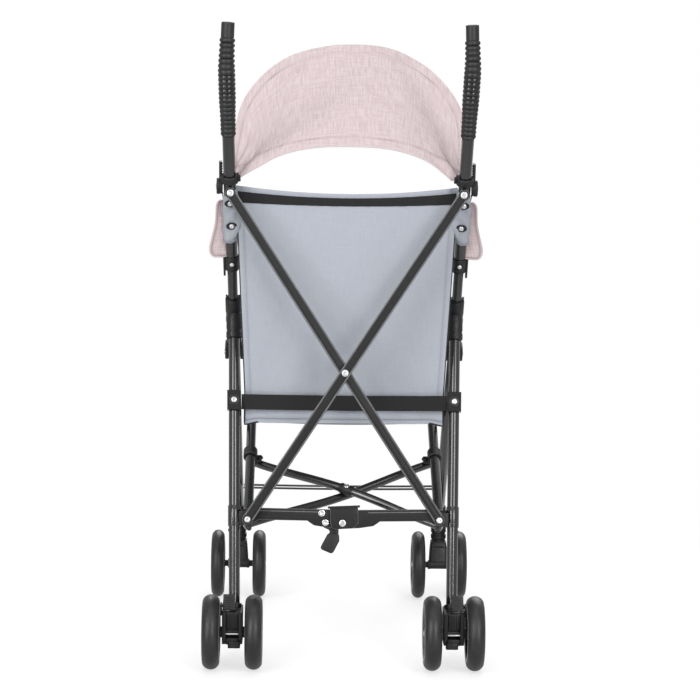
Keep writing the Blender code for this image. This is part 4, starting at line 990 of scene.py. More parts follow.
class STROLLER_OT_brackets(bpy.types.Operator):
    """Builds the moulded brackets where the tubes of each side meet"""

    bl_idname = "stroller.brackets"
    bl_label = "Brackets"

    def execute(self, context):
        for name, side in SIDES.items():
            self.apex(name, side)
            self.leg_hinge(name, side)
            self.canopy_clamp(name, side)
            self.strap_cap(name, side)
        return {"FINISHED"}

    def apex(self, name, side):
        """The two sleeves that hold the leg beside the push tube, with the web between them."""
        made = Shell()
        centre = push_at(side, APEX[2])
        way = push_way(side)
        down = leg_down(side)
        leg_top = on_side(side, APEX)
        bore = PUSH_LOWER_RADIUS + 0.0003
        sleeve = [
            (-0.02, bore), (-0.02, 0.0118), (-0.0185, 0.0128), (-0.012, 0.0128), (-0.011, 0.0122),
            (-0.002, 0.0122), (-0.001, 0.0128), (0.0235, 0.0128), (0.0255, 0.012), (0.026, bore),
        ]
        made.turned(centre, way, sleeve, 40)
        collar = [
            (0.004, 0.004), (0.0042, 0.0118), (0.006, 0.013), (0.03, 0.013), (0.031, 0.0124),
            (0.035, 0.0124), (0.036, 0.0132), (0.0445, 0.0132), (0.046, 0.012), (0.046, 0.0093),
        ]
        made.turned(leg_top, down, collar, 40)
        axes = (ACROSS, PUSH_UP.cross(ACROSS), PUSH_UP)
        made.box(leg_top + down * 0.012 - PUSH_UP * 0.01, (0.0168, 0.02, 0.03), axes, 0.0014)
        rearward = (-AHEAD - down * (-AHEAD).dot(down)).normalized()
        for along in (0.018, 0.0405):
            made.rivet(leg_top + down * along + rearward * 0.0122, rearward, 0.0034, 0.0012, 0)
        # Two small ears stand up on the rear sleeve's rim.
        for lean in (-1, 1):
            ear = mirrored([(0.003, 0.0), (0.0012, 0.0065)])
            place = centre + ACROSS * lean * 0.0104 + way * 0.025
            made.slab(ear, place, (AHEAD, way, ACROSS), -0.0014, 0.0014, 0.0005)
        made.piece(f"{name}_apex_sleeves", f"{name}_frame", ("plastic",), f"{name}_apex_bracket")

    def leg_hinge(self, name, side):
        """The forked socket on the push tube's lower end that carries the front leg's pivot."""
        made = Shell()
        hinge = push_hinge(side)
        way = push_way(side)
        socket = [
            (0.013, 0.004), (0.013, 0.0117), (0.0145, 0.0125), (0.038, 0.0125), (0.0398, 0.0116),
            (0.04, 0.0083),
        ]
        made.turned(hinge, way, socket, 40)
        axes = (ACROSS, PUSH_UP.cross(ACROSS), PUSH_UP)
        made.box(hinge + PUSH_UP * 0.015, (0.0306, 0.02, 0.005), axes, 0.0012)
        for cheek in (-1, 1):
            outline = arc(0.0, 0.0, 0.0125, 180, 360, 12) + [(0.0095, 0.016), (-0.0095, 0.016)]
            low, high = sorted((cheek * 0.0098, cheek * 0.0155))
            made.slab(outline, hinge, (PUSH_UP.cross(ACROSS), PUSH_UP, ACROSS), low, high, 0.001)
            made.rivet(hinge + ACROSS * cheek * 0.0152, ACROSS * cheek, 0.0048, 0.0018, 1)
        made.piece(f"{name}_hinge_fork", f"{name}_frame", ("plastic", "steel"), f"{name}_leg_hinge")

    def canopy_clamp(self, name, side):
        """The collar on the push tube, with the toothed ratchet disc and the catch above it."""
        made = Shell()
        hinge = spot(side * (CANOPY_HALF - 0.001), HINGE_AHEAD, HINGE_UP)
        centre = push_at(side, HINGE_UP + 0.013)
        way = push_way(side)
        bore = PUSH_RADIUS + 0.0003
        band = mirrored([(0.0055, 0.014), (0.0065, 0.013), (0.0065, bore)])
        made.turned(centre, way, band, 40, closed=True)
        inward = ACROSS * -side
        made.box(
            centre + inward * 0.015 + way * 0.001, (0.0052, 0.0085, 0.012), (ACROSS, AHEAD, way), 0.0008
        )
        made.box(
            centre + inward * 0.0135 + way * 0.008, (0.0024, 0.007, 0.006), (ACROSS, AHEAD, way), 0.0006
        )
        disc = [
            (-0.0068, 0.0112), (-0.0058, 0.0122), (-0.0022, 0.0124), (-0.0018, 0.013), (0.0016, 0.013),
            (0.0028, 0.0118), (0.0026, 0.008), (0.002, 0.0074), (0.002, 0.002),
        ]
        made.turned(hinge, ACROSS * side, disc, 48)
        made.rivet(hinge + ACROSS * side * 0.0019, ACROSS * side, 0.0052, 0.002, 1)
        teeth = 22
        for i in range(teeth):
            turn = pi * (0.1 + i / teeth)
            place = hinge + AHEAD * -cos(turn) * 0.0126 + UP * sin(turn) * 0.0126
            made.box(place - ACROSS * side * 0.0002, (0.0046, 0.001, 0.001), SQUARE, 0.0003)
        shares = [i / 8 for i in range(9)]
        arm = [(0.0052 - 0.0012 * abs(share - 0.45), 0.01 + 0.031 * share) for share in shares]
        lean = (UP + AHEAD * -0.2).normalized()
        axes = (lean.cross(ACROSS), lean, ACROSS * side)
        made.slab(mirrored(arm), hinge, axes, -0.006, -0.0012, 0.0009)
        for i in range(6):
            place = hinge + lean * (0.016 + 0.0042 * i) - ACROSS * side * 0.0062
            made.box(place, (0.0016, 0.0074, 0.002), (ACROSS, AHEAD, lean), 0.0004)
        made.box(mix(centre, hinge, 0.62) + UP * 0.004, (0.008, 0.01, 0.011), SQUARE, 0.0012)
        made.piece(f"{name}_ratchet", f"{name}_frame", ("plastic", "steel"), f"{name}_canopy_clamp")

    def strap_cap(self, name, side):
        """The saddle riveted to the leg, through which the lower webbing's end runs."""
        made = Shell()
        centre = leg_at(side, STRAP_UP)
        down = leg_down(side)
        rearward = ACROSS.cross(down)
        if rearward.y > 0:
            rearward = -rearward
        rearward.normalize()
        outline = rounded_rect(0.02, 0.033, 0.0022)
        made.slab(outline, centre, (ACROSS, down, rearward), 0.0098, 0.0132, 0.001, 1)
        for edge in (-1, 1):
            place = centre + ACROSS * edge * 0.0104 + rearward * 0.0058
            made.box(place, (0.0017, 0.0135, 0.033), (ACROSS, rearward, down), 0.0007, 1)
        face = centre + rearward * 0.0131
        made.turned(
            face, rearward, [(0.0, 0.0082), (0.0006, 0.0082), (0.001, 0.0074), (0.001, 0.004)], 32, 0
        )
        made.rivet(face + rearward * 0.0008, rearward, 0.0048, 0.002, 2)
        made.piece(
            f"{name}_strap_saddle", f"{name}_frame", ("plastic", "webbing", "steel"), f"{name}_strap_cap"
        )


class STROLLER_OT_rear_cross(bpy.types.Operator):
    """Builds the flat bars of the rear X, the lock's links and the release pedal"""

    bl_idname = "stroller.rear_cross"
    bl_label = "Rear cross and lock"

    def execute(self, context):
        for name, side in SIDES.items():
            self.bar(name, side)
        self.links()
        self.pedal()
        for name, side in SIDES.items():
            self.runner(name, side)
        return {"FINISHED"}

    def bar(self, name, side):
        """One channel bar of the rear X, from its push tube to the other side's runner."""
        made = Shell()
        top = pivot_of(f"{name}_bar_pivot")
        other = "left" if side > 0 else "right"
        foot = pivot_of(f"{other}_link_pivot")
        axis = axis_of(f"{name}_bar_pivot")
        along = (foot - top).normalized()
        wide = axis.cross(along)
        length = (foot - top).length
        half = BAR_WIDTH / 2
        low = BAR_SPACING if side > 0 else -BAR_SPACING - BAR_THICKNESS
        high = low + BAR_THICKNESS
        outline = arc(length, 0, half, -90, 90, 16) + arc(0, 0, half, 90, 270, 16)
        axes = (along, wide, axis)
        # Its rounded edges, the flanges' edges and the beads take the lighter edge finish, a painted
        # highlight.
        made.slab(outline, top, axes, high - 0.0016, high, 0.0007, 0, 1)
        # The rolled flanges stand forward along both edges of the channel.
        for edge in (-1, 1):
            inner = edge * (half - 0.0014)
            outer = edge * half
            flange = [(0.0, inner), (length, inner), (length, outer), (0.0, outer)][::edge]
            made.slab(flange, top, axes, low, high - 0.0008, 0.0005, 0, 1)
            beside = top + wide * edge * (half - 0.0013) + axis * (high - 0.0003)
            bead = [beside + along * at for at in (0.004, length - 0.004)]
            made.rod(bead[0], bead[1], 0.0013, 12, 1, 0.0004)
            groove = [place - wide * edge * 0.0036 for place in bead]
            made.rod(groove[0], groove[1], 0.0008, 12, 0, 0.0003)
        if side > 0:
            middle = top + along * length * BAR_MEET
            made.rivet(middle + axis * (high - 0.0004), axis, 0.006, HEAD_HEIGHT, 2)
        made.rivet(foot + axis * (high - 0.0004), axis, 0.0054, HEAD_HEIGHT, 2)
        made.piece(f"{name}_flat_bar", f"{name}_bar", ("bar", "bar_edge_highlight", "steel"), f"{name}_cross_bar")

    def links(self):
        """The lock's two flat links, each with its pressed ribs and its rolled upper edge."""
        for name, side in SIDES.items():
            made = Shell()
            pivot = pivot_of(f"{name}_link_pivot")
            centre = lock_centre()
            along = (centre - pivot).normalized()
            upward = (LINK_UP - along * LINK_UP.dot(along)).normalized()
            length = (centre - pivot).length
            low, high = LOCK_LAYERS[0 if side > 0 else 1]
            axes = (along, upward, BACKWARD)
            outline = arc(0, 0, 0.0088, 110, 255, 12)
            outline += [
                (0.01, -0.007), (0.018, -0.0012), (length - 0.059, 0.0012), (length - 0.048, -0.0058),
                (length - 0.025, -0.0083), (length, -0.0083), (length + 0.007, -0.002),
                (length + 0.006, 0.016), (length - 0.018, 0.0215), (0.01, 0.0178), (0.002, 0.014),
            ]
            turn = 1 if along.x * BACKWARD.y < 0 else -1
            # The link's rounded edges and its upper rib take the lighter edge finish, a painted highlight.
            made.slab(outline[::turn], pivot, axes, low, high, 0.0007, 0, 1)
            ribs = ((0.0135, 0.0163, 0.0011, 1), (0.008, 0.011, 0.001, 0), (0.003, 0.0062, 0.0009, 0))
            for near, far, radius, mark in ribs:
                level = BACKWARD * (high - radius + 0.0003)
                first = pivot + along * 0.014 + upward * near + level
                last = pivot + along * (length - 0.04) + upward * far + level
                made.rod(first, last, radius, 12, mark, 0.0004)
            if side > 0:
                self.plate(made, pivot, axes, length, low, high)
            else:
                for u, v in ((0.0363, 0.0146), (0.0297, -0.0004)):
                    place = pivot + along * (length - u) + upward * v
                    made.rivet(place + BACKWARD * (high - 0.0003), BACKWARD, 0.0054, 0.0006, 2)
            made.piece(f"{name}_link", f"{name}_link", ("bar", "bar_edge_highlight", "steel"), f"{name}_lock_link")

    def plate(self, made, pivot, axes, length, low, high):
        """The lock plate at the right link's end, bent over at its top."""
        along, upward, rear = axes
        shape = [
            (length - 0.0243, 0.001),
            (length - 0.019, -0.0055),
            (length - 0.0132, -0.0083),
            (length + 0.014, -0.0088),
            (length + 0.0195, -0.0062),
            (length + 0.0215, 0.002),
            (length + 0.0215, 0.0275),
            (length - 0.0243, 0.0275),
        ]
        # The plate's rounded edges take the painted highlight too.
        made.slab(shape, pivot, axes, low + 0.0002, high + 0.0003, 0.0006, 0, 1)
        flange = pivot + along * (length - 0.0014) + upward * 0.0272 + rear * (high - 0.0004)
        made.box(flange, (0.052, 0.0036, 0.0034), (along, rear, upward), 0.0007)
        head = pivot + along * (length + 0.0018) + upward * 0.0008 + rear * (high + 0.0001)
        made.rivet(head, rear, 0.0056, 0.0013, 2)

    def pedal(self):
        """The release pedal: a hooked lever with a thick pad below it."""
        made = Shell()
        pivot = pivot_of("release_pedal_pivot")
        low, high = LOCK_LAYERS[2]
        axes = (ACROSS, LINK_UP, BACKWARD)
        outline = arc(0, 0, 0.01, 20, 200, 12)
        outline += [
            (-0.004, -0.009), (0.003, -0.012), (0.0052, -0.015), (0.004, -0.019), (0.0012, -0.027),
            (0.002, -0.035), (0.01, -0.036), (0.018, -0.029), (0.0196, -0.0205), (0.0196, -0.013),
            (0.019, -0.0075), (0.015, -0.0035),
        ]
        made.slab(outline, pivot, axes, low, high, 0.0008)
        pad = [
            (0.0036, -0.0184), (0.001, -0.0205), (-0.0084, -0.0385), (-0.0094, -0.0415), (-0.0076, -0.0445),
            (0.0064, -0.0504), (0.0096, -0.0502), (0.0122, -0.0474), (0.0206, -0.031), (0.021, -0.029),
            (0.0206, -0.0215), (0.0186, -0.0188),
        ]
        made.slab(pad, pivot, axes, low - 0.0022, high + 0.0026, 0.0014)
        slot = [
            (0.006, -0.0088), (0.0082, -0.009), (0.0145, -0.015), (0.0148, -0.0185), (0.0128, -0.018),
            (0.0118, -0.015),
        ]
        made.slab(slot, pivot, axes, high - 0.0006, high + 0.001, 0.0004, 1)
        made.piece("release_lever", "release_pedal", ("plastic", "gloss"), "release_pedal")

    def runner(self, name, side):
        """The plastic runner that slides on the leg, with the pivots that it carries."""
        made = Shell()
        down = leg_down(side)
        centre = leg_at(side, RUNNER_UP)
        foot = pivot_of(f"{name}_link_pivot")
        bore = LEG_RADIUS + 0.0003
        band = mirrored([(0.0162, 0.0104), (0.017, 0.0099), (0.017, bore)])
        made.turned(centre, down, band, 40, 2, True)
        inward = ACROSS * -side
        layer = 0 if side > 0 else 1
        low, high = LOCK_LAYERS[layer + 1]
        ear = [(-0.015, -0.011), (0.005, -0.011)] + arc(0.0, 0.0, 0.0108, -60, 60, 8)
        ear += [(0.005, 0.011), (-0.015, 0.011)]
        made.slab(ear, foot, (inward, LINK_UP, BACKWARD), low, high, 0.0008)
        bolt_at = foot - UP * 0.0165 + inward * 0.002
        made.rod(bolt_at + BACKWARD * (low - 0.002), bolt_at + BACKWARD * (high + 0.003), 0.004, 24)
        link_high = LOCK_LAYERS[layer][1]
        made.rod(foot + BACKWARD * (low + 0.001), foot + BACKWARD * (link_high + 0.001), PIN_RADIUS, 20, 1)
        reach = -0.0064 if side > 0 else -0.0004
        made.rod(foot + BACKWARD * (link_high + 0.0003), foot + BACKWARD * reach, 0.0058, 28, 1)
        pivot = pivot_of(f"{name}_rail_pivot")
        outward = ACROSS * side
        made.rod(pivot + outward * 0.013, pivot - outward * 0.0095, PIN_RADIUS, 20, 1)
        made.rivet(pivot - outward * 0.0083, -outward, 0.0046, 0.003, 1)
        cheek = [(-0.012, -0.013), (0.012, -0.01), (0.012, 0.008), (-0.012, 0.013)]
        made.slab(cheek, pivot - AHEAD * 0.004, (AHEAD, UP, outward), 0.0088, 0.0122, 0.0008)
        made.piece(f"{name}_slide_block", f"{name}_runner", ("plastic", "steel", "tube"), f"{name}_runner")


class STROLLER_OT_seat_frame(bpy.types.Operator):
    """Builds the seat rails, their sliding sleeves and the bent tubes of the lower X"""

    bl_idname = "stroller.seat_frame"
    bl_label = "Seat frame"

    def execute(self, context):
        along, above = rail_frame()
        for name, side in SIDES.items():
            pivot = pivot_of(f"{name}_rail_pivot")
            tip = on_side(side, RAIL_TIP)
            rail = Shell()
            rail.rod(pivot + along * 0.004, tip, RAIL_RADIUS, 36, 0, 0.0022)
            eye = mirrored([(0.0072, 0.01), (0.008, 0.0088)])
            rail.turned(pivot, ACROSS, eye, 36, 1)
            reach = CROSS_DROP + CROSS_RADIUS
            rail.rod(pivot - above * 0.0075, pivot - above * (reach + 0.0012), 0.0028, 20, 2)
            rail.rivet(pivot - above * (reach + 0.0004), -above, 0.0055, HEAD_HEIGHT, 2)
            rail.piece(
                f"{name}_rail_tube", f"{name}_rail", ("tube", "plastic", "steel"), f"{name}_seat_rail"
            )

            slider = Shell()
            centre = pivot + along * CROSS_HIGH_ALONG
            bore = RAIL_RADIUS + 0.0003
            band = mirrored([(0.0088, 0.0118), (0.01, 0.0106), (0.01, bore)])
            slider.turned(centre, along, band, 40, 0, True)
            lug = centre - above * (CROSS_DROP - CROSS_RADIUS - 0.0031)
            lug.x = side * (CROSS_HIGH_ACROSS + 0.003)
            slider.box(lug, (0.02, 0.016, 0.005), (ACROSS, along, above), 0.001)
            knob = lug + above * 0.0052
            knob.x = side * (CROSS_HIGH_ACROSS - 0.004)
            slider.rivet(knob - above * 0.004, above, 0.0052, 0.0034, 1)
            slider.piece(
                f"{name}_rail_sleeve", f"{name}_rail_slider", ("plastic", "gloss"), f"{name}_rail_runner"
            )
            self.cross(name, side, along, above)
        return {"FINISHED"}

    def cross(self, name, side, along, above):
        """One bent tube of the lower X. The right one carries the clip where the two cross."""
        made = Shell()
        low = pivot_of(f"{name}_cross_pivot")
        other = pivot_of("left_rail_pivot" if side > 0 else "right_rail_pivot")
        high = other + along * CROSS_HIGH_ALONG - above * CROSS_DROP
        high.x = -side * CROSS_HIGH_ACROSS
        bow = CROSS_BOW_UP if side > 0 else -CROSS_BOW_DOWN
        way = (high - low).normalized()
        path = [low - way * 0.0075]
        steps = 36
        for i in range(1, steps):
            share = i / steps
            path.append(mix(low, high, share) + above * bow * (1 - cos(2 * pi * share)) / 2)
        path.append(high + way * 0.0075)
        made.tube(path, CROSS_RADIUS, 36, 0, 0.0018)
        if side > 0:
            middle = mix(low, high, 0.5) + above * bow
            apart = CROSS_BOW_UP + CROSS_BOW_DOWN - CROSS_RADIUS
            clip = [middle - way * 0.012, middle - way * 0.004, middle + way * 0.004, middle + way * 0.012]
            made.tube(clip, [0.0078, 0.0082, 0.0082, 0.0078], 36, 1)
            for at in (-0.0085, 0.0085):
                made.tube(
                    [middle + way * (at - 0.0016), middle + way * (at + 0.0016)], 0.0088, 36, 1, 0.0005
                )
            made.rod(middle - above * 0.006, middle - above * (apart - 0.0006), 0.0052, 28, 1)
            made.rivet(middle + above * 0.0072, above, 0.005, 0.002, 2)
        made.piece(f"{name}_bent_tube", f"{name}_cross", ("tube", "plastic", "steel"), f"{name}_cross_tube")


class STROLLER_OT_casters(bpy.types.Operator):
    """Builds the fixed knees, the swivelling forks, the rear housings and the foot brakes"""

    bl_idname = "stroller.casters"
    bl_label = "Casters and brakes"

    def execute(self, context):
        for name, side in SIDES.items():
            self.knee(name, side)
            self.fork(name, side)
            self.housing(name, side)
            self.brake(name, side)
        return {"FINISHED"}

    def knee(self, name, side):
        """The plastic elbow that turns from the front leg down to the caster's stem."""
        made = Shell()
        hinge = push_hinge(side)
        foot = on_side(side, FRONT_LEG_FOOT)
        down = (foot - hinge).normalized()
        stem = on_side(side, (FRONT_TRACK / 2, STEM_AHEAD, 0.122))
        start = foot - down * 0.016
        bend = [start, foot]
        corner = mix(foot, stem, 0.5) + Vector((0, 0.002, 0))
        for i in range(1, 9):
            share = i / 8
            bend.append(mix(mix(foot, corner, share), mix(corner, stem, share), share))
        radii = [0.0112, 0.0122] + [0.0122 + 0.0015 * i / 8 for i in range(1, 9)]
        head = [start - down * 0.0003]
        made.tube(head + bend, [0.0094] + radii, 40)
        steps = [
            (0.0, 0.0137), (0.0055, 0.0138), (0.0063, 0.0124), (0.008, 0.0121), (0.0098, 0.0124),
            (0.0106, 0.0138), (0.0168, 0.0138), (0.0178, 0.013),
        ]
        made.turned(stem, -UP, steps, 44)
        made.piece(f"{name}_knee", f"{name}_front_leg", ("plastic",), f"{name}_caster_socket")

    def fork(self, name, side):
        """The swivelling fork that trails its axle between the two front wheels."""
        made = Shell()
        middle = side * FRONT_TRACK / 2
        axle = spot(middle, WHEELBASE, WHEEL_RADIUS)
        levels = (
            (0.1002, 0.0125, -0.0115, 0.0115),
            (0.099, 0.0138, -0.013, 0.013),
            (0.09, 0.0149, -0.0155, 0.0115),
            (0.08, 0.0158, -0.019, 0.008),
            (0.07, 0.0168, -0.0225, 0.0),
            (0.062, 0.0174, -0.0262, -0.0118),
        )
        rings = []
        for up, half, rear, front in levels:
            shape = rounded_rect(2 * half, front - rear, 0.0036, 4)
            centre = spot(middle, STEM_AHEAD + (front + rear) / 2, up)
            rings.append([centre + ACROSS * u + AHEAD * v for u, v in shape])
        made.skin(rings)
        neck = [(0.0, 0.012), (0.0006, 0.013), (0.0038, 0.013), (0.0046, 0.0122), (0.0066, 0.0122)]
        made.turned(spot(middle, STEM_AHEAD, 0.097), UP, neck, 40)
        barrel = mirrored([(0.0146, 0.0078), (0.015, 0.0084), (0.0188, 0.0082), (0.0195, 0.007)])
        made.turned(axle, ACROSS, barrel, 40)
        boss = FRONT_PAIR / 2 - WHEEL_WIDTH / 2 - AXLE_SPACE
        made.rod(axle - ACROSS * boss, axle + ACROSS * boss, 0.0056, 32)
        self.axle(made, axle, FRONT_PAIR)
        # A raised panel on the fork's rear face.
        panel = mirrored([(0.0095, 0.0), (0.0115, -0.024)])
        rear_way = Vector((0, -0.92, -0.4)).normalized()
        slope = Vector((0, -0.4, 0.92)).normalized()
        place = spot(middle, STEM_AHEAD - 0.0162, 0.0925)
        made.slab(panel, place, (ACROSS, slope, rear_way), -0.001, 0.0006, 0.0005)
        made.piece(f"{name}_swivel_fork", f"{name}_swivel", ("plastic", "steel"), f"{name}_caster_fork")

    def axle(self, made, centre, pair):
        """The steel axle through both wheels of a pair."""
        reach = pair / 2 + WHEEL_WIDTH / 2 + 0.0004
        made.rod(centre - ACROSS * reach, centre + ACROSS * reach, AXLE_RADIUS, 20, 1)

    def housing(self, name, side):
        """The housing under the rear leg, with its ribbed rear face, the axle and the brake's ears."""
        made = Shell()
        middle = side * REAR_TRACK / 2
        axle = spot(middle, 0, WHEEL_RADIUS)
        rear, front = -0.017, 0.036
        low, top = 0.043, 0.096
        wall = [
            (rear, low + 0.012), (rear + 0.004, low), (front - 0.012, low), (front, low + 0.014),
            (front, top), (rear, top),
        ]
        for edge in (-1, 1):
            inner, outer = sorted((edge * 0.01, edge * 0.0165))
            made.slab(wall, spot(middle, 0, 0), (AHEAD, UP, ACROSS), inner, outer, 0.0012)
        made.box(spot(middle, 0.014, 0.0705), (0.021, 0.042, 0.05), SQUARE, 0.001)
        made.box(spot(middle, -0.0075, 0.082), (0.0205, 0.012, 0.026), SQUARE, 0.0008)
        for i in range(5):
            made.box(spot(middle + 0.004 * (i - 2), -0.0142, 0.0815), (0.0012, 0.003, 0.023), SQUARE, 0.0004)
        made.box(spot(middle, -0.0115, 0.0485), (0.0205, 0.011, 0.0105), SQUARE, 0.001)
        tab = spot(middle - side * 0.003, -0.013, 0.0395)
        made.box(tab + Vector((0, 0, 0.0035)), (0.02, 0.013, 0.011), SQUARE, 0.0016, 2)
        made.rod(leg_at(side, low + 0.03), leg_at(side, 0.1), 0.0122, 40, 0, 0.0012)
        boss = REAR_PAIR / 2 - WHEEL_WIDTH / 2 - AXLE_SPACE
        flange = mirrored([(boss - 0.0006, 0.009), (boss, 0.008)])
        made.turned(axle, ACROSS, flange, 40)
        self.axle(made, axle, REAR_PAIR)
        pin = axle - AHEAD * 0.0135
        made.rod(pin - ACROSS * 0.0102, pin + ACROSS * 0.0102, 0.0015, 20, 1)
        hinge = pivot_of(f"{name}_brake_pivot") + ACROSS * side * BRAKE_SHIFT
        for ear in (-1, 1):
            lug = [(-0.004, -0.0155), (0.008, -0.0155)] + arc(0.0, 0.0, 0.0058, 0, 180, 8)
            made.slab(lug, hinge, (AHEAD, UP, ACROSS), ear * 0.0126 - 0.0012, ear * 0.0126 + 0.0012, 0.0005)
        made.rod(hinge - ACROSS * 0.0142, hinge + ACROSS * 0.0142, PIN_RADIUS, 20)
        made.piece(
            f"{name}_rear_housing", f"{name}_frame", ("plastic", "steel", "gloss"), f"{name}_axle_housing"
        )

    def brake(self, name, side):
        """The small ribbed pedal behind the axle."""
        made = Shell()
        hinge = pivot_of(f"{name}_brake_pivot") + ACROSS * side * BRAKE_SHIFT
        upward = -leg_down(side)
        upward.x = 0
        upward.normalize()
        forward = upward.cross(ACROSS)
        half = 0.0104
        outline = mirrored([(half, -0.0075), (half - 0.0012, 0.018)])
        made.slab(outline, hinge, (ACROSS, upward, forward), -0.0056, -0.0004, 0.0011)
        made.rod(hinge - ACROSS * half, hinge + ACROSS * half, 0.0052, 32)
        for i in range(7):
            at = -0.004 + 0.003 * i
            wide = 2 * half - 0.0038 - 0.0011 * at / 0.01
            made.box(
                hinge + upward * at - forward * 0.0058, (wide, 0.0018, 0.0013), (ACROSS, forward, upward),
                0.0004,
            )
        made.piece(f"{name}_foot_brake", f"{name}_brake", ("plastic",), f"{name}_brake_pedal")


class STROLLER_OT_wheels(bpy.types.Operator):
    """Builds the eight foam tyres and their spoked wheels"""

    bl_idname = "stroller.wheels"
    bl_label = "Wheels"

    def execute(self, context):
        for name, side in SIDES.items():
            for end in ("rear", "front"):
                for place in ("outer", "inner"):
                    label = f"{name}_{end}_{place}"
                    centre = pivot_of(f"{label}_spin")
                    outward = side if place == "outer" else -side
                    self.tyre(label, centre)
                    self.rim(label, centre, outward)
        return {"FINISHED"}

    def tyre(self, label, centre):
        """A foam tyre with a round tread and short straight walls, a little wider than the CAD tyre."""
        low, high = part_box(f"{label}_tyre")
        half = (high.x - low.x) / 2 + TYRE_SWELL[label.split("_")[1]]
        made = Shell()
        profile = []
        inner = WHEEL_RADIUS - TYRE_DEPTH
        wall_turn = 118
        steps = 24
        for i in range(steps + 1):
            turn = radians(-wall_turn + 2 * wall_turn * i / steps)
            across = half * max(-1.0, min(1.0, 1.04 * sin(turn)))
            height = cos(turn)
            drop = TREAD_CROWN * (1 - height) if height > 0 else TREAD_CROWN - 0.001 * height
            profile.append((across, WHEEL_RADIUS - drop))
        profile += [(half * 0.8, inner), (0.0, inner - 0.0002), (-half * 0.8, inner)]
        made.turned(centre, ACROSS, profile, 96, 0, True)
        made.piece(f"{label}_foam_tyre", f"{label}_wheel", ("tyre",), f"{label}_tyre")

    def rim(self, label, centre, outward):
        """The wheel inside the tyre: rim, lips, hub, spokes and the end of its axle."""
        made = Shell()
        outer = WHEEL_RADIUS - RIM_GAP
        inner = outer - RIM_DEPTH
        half = RIM_HALF + TYRE_SWELL[label.split("_")[1]]
        band = [
            (half - 0.0006, outer), (half, outer - 0.0004), (half, inner + 0.0006), (half - 0.0016, inner)
        ]
        band = mirrored(band + [(0.002, inner - 0.0008)])
        made.turned(centre, ACROSS, band, 72, 0, True)
        lip = [
            (half - 0.001, outer - 0.003), (half + 0.0008, outer - 0.0028), (half + 0.0015, outer - 0.002),
            (half + 0.0015, outer - 0.0012), (half + 0.0008, outer - 0.0003), (half - 0.001, outer),
        ]
        # Both lips take the light grey finish, a painted highlight.
        made.turned(centre, ACROSS * outward, lip, 72, 3, True)
        made.turned(centre, -ACROSS * outward, lip, 72, 3, True)
        hub = mirrored([(half - 0.0015, 0.01), (half - 0.0005, 0.0088), (half - 0.0005, 0.0032)])
        made.turned(centre, ACROSS, hub, 40, 0, True)
        spoke = mirrored([(0.0058, 0.0075), (0.0036, 0.018), (0.0031, 0.032), (0.0046, inner + 0.0018)])
        fin = mirrored([(0.001, 0.009), (0.001, inner)])
        for i in range(SPOKES):
            turn = 2 * pi * i / SPOKES + 0.3
            out = Vector((0, sin(turn), cos(turn)))
            axes = (out.cross(ACROSS), out, ACROSS)
            made.slab(spoke, centre, axes, -0.0036, 0.0036, 0.001)
            made.slab(fin, centre, axes, -0.0056, 0.0056, 0.0004)
        # The pressed cap on the axle's end, in a dark dished washer.
        face = half - 0.001
        dish = [(face, 0.0085), (face + 0.0008, 0.0085), (face + 0.0008, 0.0064), (face, 0.0058)]
        made.turned(centre, ACROSS * outward, dish, 32, 1, True)
        cap = [
            (face, 0.0046), (face + 0.0014, 0.0048), (face + 0.002, 0.0038), (face + 0.0023, 0.0018),
            (face + 0.0023, 0.0003),
        ]
        made.turned(centre, ACROSS * outward, cap, 28, 2)
        made.piece(
            f"{label}_spoked_wheel", f"{label}_wheel", ("plastic", "gloss", "steel", "rim_lip_painted_highlight"),
            f"{label}_rim",
        )


def back_point(across, down):
    """The seat back's rear face, hung between the push tubes, with the soft folds that its pull makes."""
    half = BACK_TOP[0] + (BACK_FOOT[0] - BACK_TOP[0]) * min(1.0, down * 1.15)
    ahead = BACK_TOP[1] + (BACK_FOOT[1] - BACK_TOP[1]) * down
    up = BACK_TOP[2] + (BACK_FOOT[2] - BACK_TOP[2]) * down
    hang = 1 - across**2
    up -= BACK_SAG * hang * (1 - down) ** 3
    belly = -BACK_BELLY * hang * sin(pi * down)
    fold = 0.0
    for corner in (-1, 1):
        for reach, width, height in BACK_FOLDS:
            distance = (across - corner * (reach - 0.75 * (1 - down))) / width
            fold += height * down**2 * (1 - down) * 4 / (1 + distance**2)
    ripple = 0.0007 * sin(across * 9 + down * 5) * sin(down * 11 + across * 3) * hang
    pucker = 0.0006 * sin(across * 60) * (smooth(0.1, 0.0, down) + smooth(0.86, 0.95, down))
    return spot(across * half, ahead + belly + fold + ripple + pucker, up)


def seat_point(across, share):
    """The seat's upper face, from the back's foot to the front edge, sagging between the rails."""
    rear = spot(0, BACK_FOOT[1] + 0.016, BACK_FOOT[2] - 0.004)
    front = spot(0, SEAT_FRONT[1], SEAT_FRONT[2])
    half = SEAT_REAR_WIDTH + (SEAT_FRONT[0] - SEAT_REAR_WIDTH) * share
    sag = SEAT_SAG * (1 - across**2) * sin(pi * min(1, share * 0.9 + 0.1))
    wave = 0.0009 * sin(across * 7 + 1.3) * sin(share * 9)
    return mix(rear, front, share) + ACROSS * across * half - UP * (sag + wave)


